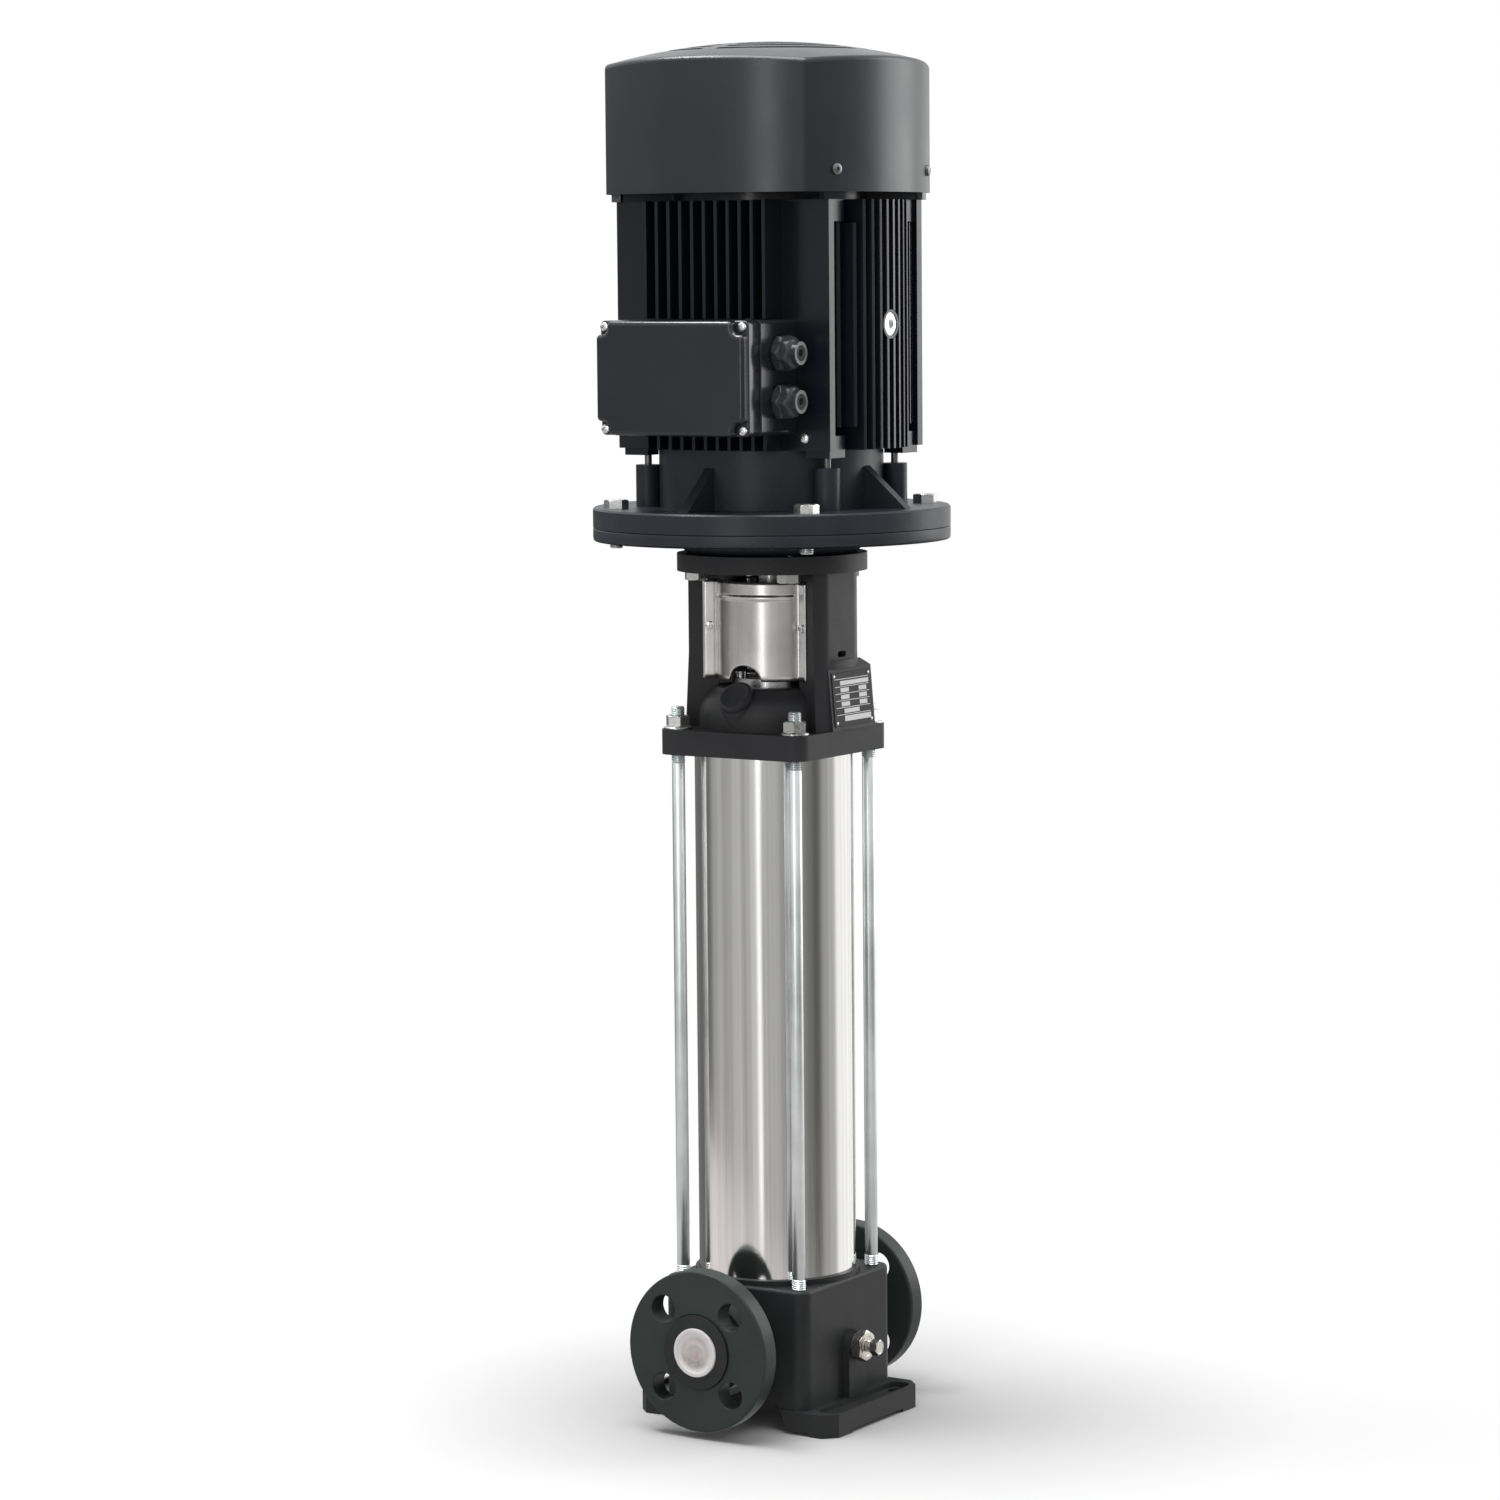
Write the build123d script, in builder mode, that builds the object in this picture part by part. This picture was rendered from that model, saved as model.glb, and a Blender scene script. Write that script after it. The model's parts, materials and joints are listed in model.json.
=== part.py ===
from build123d import *
import os
from math import asin, atan2, cos, degrees, hypot, radians, sin, sqrt

os.makedirs("parts", exist_ok=True)

# Vertical multistage centrifugal pump with its motor on top.
# The origin is on the floor under the shaft, +Z runs up the shaft, the two ports lie along Y
# with the suction at -Y, and the drain plug faces +X. All sizes are in millimetres.

# Clearances
seat_gap = 0.1        # between pieces that are fitted together and stay put
running_gap = 0.05    # radial, a shaft in its bearing or a plug in its thread
air_gap = 0.6         # between turning and standing surfaces that never touch

# Base casting
foot_span = 198
foot_depth = 146
foot_height = 20
foot_chamfer = 11
pad_relief = 3
pad_length_x = 23
pad_length_y = 32
trough_depth = 4.5
trough_width = 19
trough_length = 124
anchor_spacing_x = 172
anchor_spacing_y = 100
anchor_hole = 13
body_width = 142
body_corner = 12
body_edge = 3
base_top = 121
tunnel_half_width = 53
tunnel_height = 41
bowl_radius = 44
bowl_floor = 50
annulus_inner = 54
annulus_floor = 58
annulus_step = 0.8
chamber_entry = 9

# Ports
port_height = 74
port_bore = 35
port_face = 128.5
neck_radius = 31.4
shoulder_radius = 38
neck_root = 62
flange_radius = 68
flange_thickness = 18
flange_proud = 2
flange_edge = 1.2
flange_bolt_circle = 93.4
flange_hole = 23
cap_disc = 41
cap_disc_thickness = 2.2
cap_skirt_depth = 9
cap_wall = 1.4
cap_seat_depth = 0.4

# Drain plug
drain_height = 63.8
drain_offset = 2.5
drain_pad_thickness = 6.5
drain_pad_width = 26
drain_bore = 8
drain_washer_radius = 11.5
drain_washer_thickness = 2
drain_hex = 24
drain_hex_thickness = 8.5
drain_shank = 11
valve_neck_radius = 4.8
valve_neck_length = 5
valve_hex = 12
valve_hex_thickness = 7
valve_shank_radius = 4
valve_shank = 14

# Sleeve and tie rods
sleeve_radius = 66.8
sleeve_wall = 1.5
ledge_height = 4.5
ledge_width = 3.3
seal_thickness = 2
sleeve_entry = 5
rod_spacing = 116
rod_shank_radius = 5.45
rod_thread_radius = 6
rod_thread_seen = 9
rod_grip = 20
rod_stand_out = 7.5
nut_across_flats = 18
nut_height = 9.5
washer_radius = 12
washer_thickness = 2

# Pump head and motor stool
stack_entry = 12.3
head_flange = 21
head_width = 143.2
head_corner = 14
head_hole = 13
head_recess = 6.3
cavity_radius = 60
cavity_neck = 40
cavity_rise = 8
cavity_lift = 2
bell_radius = 63
bell_height = 35
bell_top_radius = 47
column_inner = 46
column_radius = 71
column_foot_radius = 74
flare_height = 63
column_half_angle = 29
column_flat = 68.3
column_flat_lift = 58.3
slot_width = 13
slot_height = 5
stool_radius = 80
stool_flange = 14.7
stool_lift = 132.2
stool_bore = 48

# Priming plug, tilted up from the front of the bell
plug_reach = 55.4
plug_lift = 26.5
plug_tilt = 45
plug_boss_radius = 15
plug_boss_foot_radius = 11
plug_boss_foot_reach = 51
plug_cap_thickness = 6
plug_cap_radius = 15
plug_shank_radius = 9
plug_shank = 14
plug_bore_depth = 16

# Data plate on its sloped boss
plate_boss_low = 73
plate_boss_high = 68.5
plate_boss_height = 51.5
plate_boss_width = 67
plate_boss_offset = 11.5
plate_boss_root = 58
plate_width = 60
plate_height = 45
plate_thickness = 0.8
rivet_radius = 1.5
rivet_height = 0.9
rivet_inset = 3

# Coupling guards
guard_radius = 45.4
guard_sheet = 1.2
guard_reach = 58.9
guard_lift = 41
guard_height = 83
guard_bead_height = 68.5
guard_bead_width = 2.4
guard_bead_proud = 0.9
guard_notch_radius = 11.5
guard_screw_reach = 53
guard_screw_lift = 85.3
guard_screw_radius = 2
guard_screw_head_radius = 3.7
guard_screw_head = 2.3
guard_screw_length = 9

# Shaft seal
seal_bore = 22
seal_seat_thickness = 11
gland_plate_radius = 34
gland_plate_thickness = 7
gland_screw_circle = 56
gland_screw_radius = 2.5
gland_screw_head_radius = 4.3
gland_screw_head = 5
gland_screw_length = 8
seal_head_radius = 16
seal_head_length = 17
seal_face_gap = 0.3

# Hydraulics
pump_shaft_radius = 8
pump_shaft_bottom = 100
chamber_radius = 52
chamber_wall = 1.6
inlet_height = 26
stage_count = 11
stage_pitch = 40
eye_radius = 19
diaphragm = 2
vane_count = 6
vane_height = 9
vane_thickness = 1.6
impeller_radius = 46
impeller_hub_radius = 12
impeller_eye_wall = 1.8
shroud_thickness = 1.6
impeller_passage = 12
impeller_rise = 4
vane_sweep = 35
hub_gap = 0.2
lower_bearing_radius = 11
lower_bearing_length = 12
lower_bearing_height = 5
spider_radius = 14
spider_arm = 5
top_window = 60
shaft_nut_height = 8
shaft_nut_flats = 19

# Coupling
coupling_lift = 53.3
coupling_length = 64
coupling_radius = 30
coupling_split = 1.2
coupling_chamfer = 2
coupling_screw_offset = 21
coupling_screw_pitch = 34
coupling_screw_radius = 3
coupling_screw_head_radius = 5
coupling_screw_head = 6
coupling_screw_length = 24
coupling_pin_radius = 2.5
coupling_pin_height = 10
coupling_pin_length = 36
shaft_end_gap = 3

# Adapter and motor flange
motor_flange_radius = 150
adapter_hub_height = 10.8
adapter_disc = 11.4
adapter_hub_radius = 79
adapter_hub_lip = 3.4
adapter_hub_foot = 71
adapter_bore = 45
spigot_margin = 35
spigot_depth = 4
stool_bolt_circle = 130
stool_bolt_radius = 6
stool_bolt_head = 7.5
stool_bolt_length = 30
flange_bolt_margin = 17.5
flange_bolt_radius = 6
flange_bolt_head = 7.5
flange_bolt_stand_out = 5
bolt_across_flats = 18
motor_flange_thickness = 16.7
motor_flange_edge = 1.5

# Motor end shield
shield_neck_radius = 94
shield_height = 49.5
shield_wall = 18
shield_floor = 8
rib_margin = 16
rib_height = 35
rib_thickness = 9
boss_radius = 10.5
boss_height = 35
through_bolt_x = 88.5
through_bolt_y = 53.1
through_bolt_radius = 3
through_bolt_grip = 14
through_bolt_flats = 10
through_bolt_head = 4
bearing_housing_radius = 45
bearing_lip = 5

# Bearings
lower_bearing_outer = 36
lower_bearing_bore = 15
lower_bearing_width = 19
upper_bearing_outer = 31
upper_bearing_bore = 15
upper_bearing_width = 16
ring_thickness = 5
bearing_shield = 1.2

# Motor frame
frame_height = 204
core_radius = 80
frame_bore = 74
fin_thickness = 3
side_fin_pitch = 9.65
side_fins = 8
short_fins = 10
outer_fin_y = 57.9
short_fin_margin = 19
side_envelope = 118.4
front_fin_pitch = 11.6
front_fins = 11
front_envelope = 100
plate_face = 73.2
corner_plate = 8
corner_plate_reach = 104
lug_height = 18
lug_drop = 6
lug_inner_x = 78
lug_outer_x = 101
lug_inner_y = 45.5
side_plug_face = 118
side_plug_radius = 9.5
side_plug_boss_radius = 12
side_plug_length = 12
side_plug_socket = 8
earth_screw_x = 80
earth_screw_height = 10
earth_screw_radius = 2.5
earth_screw_head_radius = 4.3
earth_screw_head = 3.5
earth_screw_length = 6

# Motor insides
stator_bore = 49
core_margin = 43
winding_inner = 53
winding_outer = 70
winding_length = 27
winding_edge = 5
rotor_overhang = 2
motor_shaft_radius = 14
motor_shaft_core_radius = 20

# Upper end shield and fan cover
end_shield_rim = 12
end_shield_crown = 24
end_shield_crown_radius = 46
end_shield_radius = 82
end_shield_spigot = 4
arm_width = 24
arm_thickness = 13
tab_height = 35
tab_thickness = 8
tab_width = 20
cover_side = 124
cover_corner_reach = 97.6
cover_corner = 7
cover_wall = 2
cover_gap = 6
cover_height = 131
cover_dome_radius = 510
cover_rim_radius = 4.5
grille_rings = 5
grille_inner = 24
grille_pitch = 15
grille_slot = 8
grille_spoke = 14
cover_screw_y = 71.5
cover_screw_rise = 24
cover_screw_radius = 2.5
cover_screw_head_radius = 4.5
cover_screw_head = 3
cover_screw_length = 9

# Fan
fan_radius = 104
fan_hub_radius = 24
fan_hub_length = 30
fan_disc = 3
fan_blades = 7
fan_blade_height = 24
fan_blade_thickness = 3
fan_bore = 12
fan_lift = 46
shaft_stand_out = 80

# Terminal box, lid and glands
box_width = 144
box_lift = 13.8
box_height = 93.4
box_front = 126
box_wall = 4
box_floor = 10.7
box_corner = 4
saddle_width = 96
lid_front = 153.4
lid_gasket = 1.2
lid_wall = 3
lid_skin = 3
lid_notch = 11
lid_edge = 2.5
lid_screw_radius = 2
lid_screw_head_radius = 3.6
lid_screw_head = 3
lid_screw_inset = 5
lid_flange = 18
lid_column = 14
lid_screw_grip = 12
board_width = 80
board_height = 46
board_thickness = 9
post_radius = 2.5
post_length = 13
post_pitch_x = 26
post_pitch_z = 24
box_post_radius = 5.5
gland_y = 99
gland_pitch = 39.2
gland_hex = 27
gland_hex_thickness = 8
gland_barrel_radius = 9.5
gland_barrel_length = 13
gland_shank_radius = 9.5
gland_locknut_radius = 13
gland_locknut = 4
gland_nut_hex = 25
gland_nut_length = 18
gland_nut_dome = 8
gland_mouth_radius = 6.5
gland_bore_radius = 6.5
gland_seal_thickness = 6

# Places worked out from the sizes above
sleeve_inner = sleeve_radius - sleeve_wall
annulus_outer = sleeve_inner - annulus_step
chamber_seat = base_top - chamber_entry
sleeve_seat = base_top - sleeve_entry
stack_bottom = chamber_seat + inlet_height
stack_top = stack_bottom + stage_count * stage_pitch
head_bottom = stack_top - stack_entry
head_top = head_bottom + head_flange
recess_top = head_bottom + head_recess
sleeve_bottom = sleeve_seat + seal_thickness
sleeve_top = recess_top - seal_thickness
rod_bottom = base_top - rod_grip
rod_top = head_top + washer_thickness + nut_height + rod_stand_out
bell_top = head_top + bell_height
cavity_shoulder = head_top + cavity_lift
column_flat_bottom = head_top + column_flat_lift
plug_face_height = head_top + plug_lift
guard_bottom = head_top + guard_lift
guard_screw_height = head_top + guard_screw_lift
coupling_bottom = head_top + coupling_lift
coupling_middle = coupling_bottom + coupling_length / 2
stool_bottom = head_top + stool_lift
stool_top = stool_bottom + stool_flange
adapter_bottom = stool_top + adapter_hub_height
flange_face = adapter_bottom + adapter_disc
spigot_radius = motor_flange_radius - spigot_margin
flange_bolt_pcd = 2 * (motor_flange_radius - flange_bolt_margin)
rib_reach = motor_flange_radius - rib_margin
shield_floor_top = flange_face + motor_flange_thickness
shield_top = shield_floor_top + shield_height
frame_bottom = shield_top
frame_top = frame_bottom + frame_height
stator_centre = frame_bottom + frame_height / 2
stator_length = frame_height - 2 * core_margin
rotor_length = stator_length + 2 * rotor_overhang
core_bottom = stator_centre - stator_length / 2
core_top = stator_centre + stator_length / 2
lower_bearing_seat = shield_floor_top + shield_floor
upper_bearing_seat = frame_top + bearing_lip
fan_bottom = frame_top + fan_lift
motor_shaft_top = frame_top + shaft_stand_out
cover_bottom = frame_top + cover_gap
cover_apex = frame_top + cover_height
box_bottom = frame_bottom + box_lift
box_middle = box_bottom + box_height / 2
lid_back = box_front + lid_gasket
front_port = Plane(origin=(0, 0, port_height), x_dir=(1, 0, 0), z_dir=(0, -1, 0))
back_port = Plane(origin=(0, 0, port_height), x_dir=(-1, 0, 0), z_dir=(0, 1, 0))
ports = {"front": front_port, "back": back_port}
drain_plane = Plane(origin=(0, drain_offset, drain_height), x_dir=(0, 1, 0), z_dir=(1, 0, 0))
drain_pad_face = body_width / 2 + drain_pad_thickness


def hex_radius(across_flats):
    """The corner radius of a hexagon with this width across its flats."""
    return across_flats / sqrt(3)


# Base casting: an arched body on two feet, with the suction bowl in its middle, the discharge
# ring channel round it and a neck on each side
with BuildSketch() as foot_outline:
    Rectangle(foot_span, foot_depth)
    chamfer(foot_outline.vertices(), foot_chamfer)

with BuildPart() as base_casting:
    with BuildSketch(Plane.XY.offset(pad_relief)):
        RectangleRounded(body_width, body_width, body_corner)
    extrude(amount=base_top - pad_relief)
    fillet(base_casting.edges().group_by(Axis.Z)[-1], body_edge)
    with BuildSketch(Plane.XY.offset(base_top - body_edge)):
        Circle(sleeve_radius + ledge_width)
    extrude(amount=body_edge + ledge_height)
    with BuildSketch(Plane.XY.offset(pad_relief)):
        add(foot_outline.sketch)
    extrude(amount=foot_height - pad_relief)
    with BuildSketch(drain_plane.offset(body_width / 2 - body_edge)):
        Circle(drain_pad_width / 2)
        with Locations((0, (foot_height - drain_height) / 2)):
            Rectangle(drain_pad_width, drain_height - foot_height)
    extrude(amount=drain_pad_thickness + body_edge)
    with BuildSketch(Plane.XY.offset(foot_height)):
        with GridLocations(anchor_spacing_x, 0, 2, 1):
            RectangleRounded(trough_width, trough_length, anchor_hole / 2)
    extrude(amount=-trough_depth, mode=Mode.SUBTRACT)
    with BuildSketch():
        with GridLocations(foot_span - pad_length_x, foot_depth - pad_length_y, 2, 2):
            Rectangle(pad_length_x, pad_length_y)
        add(foot_outline.sketch, mode=Mode.INTERSECT)
    extrude(amount=pad_relief)
    with BuildSketch(Plane.XZ):
        Ellipse(tunnel_half_width, tunnel_height)
    extrude(amount=foot_depth, both=True, mode=Mode.SUBTRACT)
    for port in (front_port, back_port):
        with BuildSketch(port.offset(neck_root)):
            Circle(shoulder_radius)
        extrude(amount=port_face - flange_proud - flange_thickness - neck_root)
        with BuildSketch(port.offset(neck_root)):
            Circle(neck_radius)
        extrude(amount=port_face - neck_root)
    with BuildSketch(Plane.XY.offset(chamber_seat)):
        Circle(annulus_outer)
    extrude(amount=sleeve_seat - chamber_seat, mode=Mode.SUBTRACT)
    with BuildSketch(Plane.XY.offset(sleeve_seat)):
        Circle(sleeve_radius + seat_gap)
    extrude(amount=base_top + ledge_height - sleeve_seat, mode=Mode.SUBTRACT)
    with BuildSketch(Plane.XY.offset(chamber_seat)):
        Circle(annulus_outer)
        Circle(annulus_inner, mode=Mode.SUBTRACT)
    extrude(amount=annulus_floor - chamber_seat, mode=Mode.SUBTRACT)
    with BuildSketch(Plane.XY.offset(chamber_seat)):
        Circle(bowl_radius)
    extrude(amount=bowl_floor - chamber_seat, mode=Mode.SUBTRACT)
    with BuildSketch(front_port.offset((bowl_radius + annulus_inner) / 2)):
        Circle(port_bore / 2 + seal_thickness * 2)
    extrude(amount=neck_root - (bowl_radius + annulus_inner) / 2 + body_edge)
    with BuildSketch(front_port.offset(bowl_radius / 2)):
        Circle(port_bore / 2)
    extrude(amount=port_face - bowl_radius / 2, mode=Mode.SUBTRACT)
    with BuildSketch(back_port.offset((annulus_inner + annulus_outer) / 2)):
        Circle(port_bore / 2)
    extrude(amount=port_face - (annulus_inner + annulus_outer) / 2, mode=Mode.SUBTRACT)
    for port in (front_port, back_port):
        with BuildSketch(port.offset(port_face)):
            Circle(cap_disc / 2 + seat_gap)
        extrude(amount=-cap_seat_depth, mode=Mode.SUBTRACT)
    with BuildSketch(Plane.XY.offset(base_top)):
        with GridLocations(rod_spacing, rod_spacing, 2, 2):
            Circle(rod_thread_radius + seat_gap)
    extrude(amount=-rod_grip, mode=Mode.SUBTRACT)
    with BuildSketch():
        with GridLocations(anchor_spacing_x, anchor_spacing_y, 2, 2):
            Circle(anchor_hole / 2)
    extrude(amount=foot_height, mode=Mode.SUBTRACT)
    with BuildSketch(drain_plane.offset((annulus_inner + annulus_outer) / 2)):
        Circle(drain_bore + seat_gap)
    extrude(amount=drain_pad_face - (annulus_inner + annulus_outer) / 2, mode=Mode.SUBTRACT)
base_casting.part.label = "base_casting"
export_step(base_casting.part, "parts/base_casting.step")

# Port flanges: loose rings that sit against the shoulders of the necks
for side, port in ports.items():
    with BuildPart() as port_flange:
        with BuildSketch(port.offset(port_face - flange_proud - flange_thickness)):
            Circle(flange_radius)
            Circle(neck_radius + seat_gap, mode=Mode.SUBTRACT)
            with PolarLocations(flange_bolt_circle / 2, 4, start_angle=45):
                Circle(flange_hole / 2, mode=Mode.SUBTRACT)
        extrude(amount=flange_thickness)
        chamfer(port_flange.edges().filter_by(GeomType.CIRCLE).group_by(SortBy.RADIUS)[-1], flange_edge)
    port_flange.part.label = f"port_flange_{side}"
    export_step(port_flange.part, f"parts/port_flange_{side}.step")

# Port caps: a disc with a thin skirt that slips into the port
for side, port in ports.items():
    with BuildPart() as port_cap:
        with BuildSketch(port.offset(port_face - cap_seat_depth)):
            Circle(cap_disc / 2)
        extrude(amount=cap_disc_thickness)
        with BuildSketch(port.offset(port_face - cap_seat_depth)):
            Circle(port_bore / 2 - running_gap)
            Circle(port_bore / 2 - running_gap - cap_wall, mode=Mode.SUBTRACT)
        extrude(amount=-cap_skirt_depth)
    port_cap.part.label = f"port_cap_{side}"
    export_step(port_cap.part, f"parts/port_cap_{side}.step")

# Drain plug with its washer, and the small valve screw in its middle
with BuildPart() as drain_plug:
    with BuildSketch(drain_plane.offset(drain_pad_face)):
        Circle(drain_washer_radius)
    extrude(amount=drain_washer_thickness)
    with BuildSketch(drain_plane.offset(drain_pad_face + drain_washer_thickness)):
        RegularPolygon(hex_radius(drain_hex), 6, rotation=30)
    extrude(amount=drain_hex_thickness)
    with BuildSketch(drain_plane.offset(drain_pad_face)):
        Circle(drain_bore)
    extrude(amount=-drain_shank)
    with BuildSketch(drain_plane.offset(drain_pad_face + drain_washer_thickness + drain_hex_thickness)):
        Circle(valve_shank_radius + running_gap)
    extrude(amount=-valve_shank, mode=Mode.SUBTRACT)
drain_plug.part.label = "drain_plug"
export_step(drain_plug.part, "parts/drain_plug.step")

drain_hex_face = drain_pad_face + drain_washer_thickness + drain_hex_thickness
with BuildPart() as drain_valve_screw:
    with BuildSketch(drain_plane.offset(drain_hex_face)):
        Circle(valve_shank_radius)
    extrude(amount=-valve_shank)
    with BuildSketch(drain_plane.offset(drain_hex_face)):
        Circle(valve_neck_radius)
    extrude(amount=valve_neck_length)
    with BuildSketch(drain_plane.offset(drain_hex_face + valve_neck_length)):
        RegularPolygon(hex_radius(valve_hex), 6)
    extrude(amount=valve_hex_thickness)
drain_valve_screw.part.label = "drain_valve_screw"
export_step(drain_valve_screw.part, "parts/drain_valve_screw.step")

# Outer sleeve and the flat seals at its two ends
with BuildPart() as outer_sleeve:
    with BuildSketch(Plane.XY.offset(sleeve_bottom)):
        Circle(sleeve_radius)
        Circle(sleeve_inner, mode=Mode.SUBTRACT)
    extrude(amount=sleeve_top - sleeve_bottom)
outer_sleeve.part.label = "outer_sleeve"
export_step(outer_sleeve.part, "parts/outer_sleeve.step")

with BuildPart() as sleeve_seals:
    with BuildSketch(Plane.XY.offset(sleeve_seat), Plane.XY.offset(sleeve_top)):
        Circle(sleeve_radius)
        Circle(sleeve_inner, mode=Mode.SUBTRACT)
    extrude(amount=seal_thickness)
sleeve_seals.part.label = "sleeve_seals"
export_step(sleeve_seals.part, "parts/sleeve_seals.step")

# Tie rods: rolled threads at both ends, a slimmer shank between
with BuildPart() as tie_rods:
    with BuildSketch(Plane.XY.offset(rod_bottom)):
        with GridLocations(rod_spacing, rod_spacing, 2, 2):
            Circle(rod_thread_radius)
    extrude(amount=rod_grip + rod_thread_seen)
    with BuildSketch(Plane.XY.offset(base_top + rod_thread_seen)):
        with GridLocations(rod_spacing, rod_spacing, 2, 2):
            Circle(rod_shank_radius)
    extrude(amount=head_bottom - base_top - 2 * rod_thread_seen)
    with BuildSketch(Plane.XY.offset(head_bottom - rod_thread_seen)):
        with GridLocations(rod_spacing, rod_spacing, 2, 2):
            Circle(rod_thread_radius)
    extrude(amount=rod_top - head_bottom + rod_thread_seen)
    chamfer(tie_rods.edges().group_by(Axis.Z)[-1], rod_thread_radius - rod_shank_radius)
tie_rods.part.label = "tie_rods"
export_step(tie_rods.part, "parts/tie_rods.step")

with BuildPart() as tie_rod_washers:
    with BuildSketch(Plane.XY.offset(head_top)):
        with GridLocations(rod_spacing, rod_spacing, 2, 2):
            Circle(washer_radius)
            Circle(rod_thread_radius + seat_gap, mode=Mode.SUBTRACT)
    extrude(amount=washer_thickness)
tie_rod_washers.part.label = "tie_rod_washers"
export_step(tie_rod_washers.part, "parts/tie_rod_washers.step")

with BuildPart() as tie_rod_nuts:
    with BuildSketch(Plane.XY.offset(head_top + washer_thickness)):
        with GridLocations(rod_spacing, rod_spacing, 2, 2):
            RegularPolygon(hex_radius(nut_across_flats), 6)
            Circle(rod_thread_radius + seat_gap, mode=Mode.SUBTRACT)
    extrude(amount=nut_height)
tie_rod_nuts.part.label = "tie_rod_nuts"
export_step(tie_rod_nuts.part, "parts/tie_rod_nuts.step")

# Pump head: square flange, bell over the shaft seal, two columns and the round stool flange
plug_direction = Vector(0, -cos(radians(plug_tilt)), sin(radians(plug_tilt)))
plug_plane = Plane(origin=(0, -plug_reach, plug_face_height), x_dir=(1, 0, 0), z_dir=plug_direction)
window_reach = 3 * column_foot_radius
window_half = window_reach * cos(radians(column_half_angle))
window_depth = window_reach * sin(radians(column_half_angle))
plate_boss_top = head_top + plate_boss_height
plate_slope = degrees(atan2(plate_boss_low - plate_boss_high, plate_boss_height))
plate_plane = Plane(
    origin=((plate_boss_low + plate_boss_high) / 2, plate_boss_offset, head_top + plate_boss_height / 2),
    x_dir=(0, 1, 0),
    z_dir=(cos(radians(plate_slope)), 0, sin(radians(plate_slope))),
)

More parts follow.
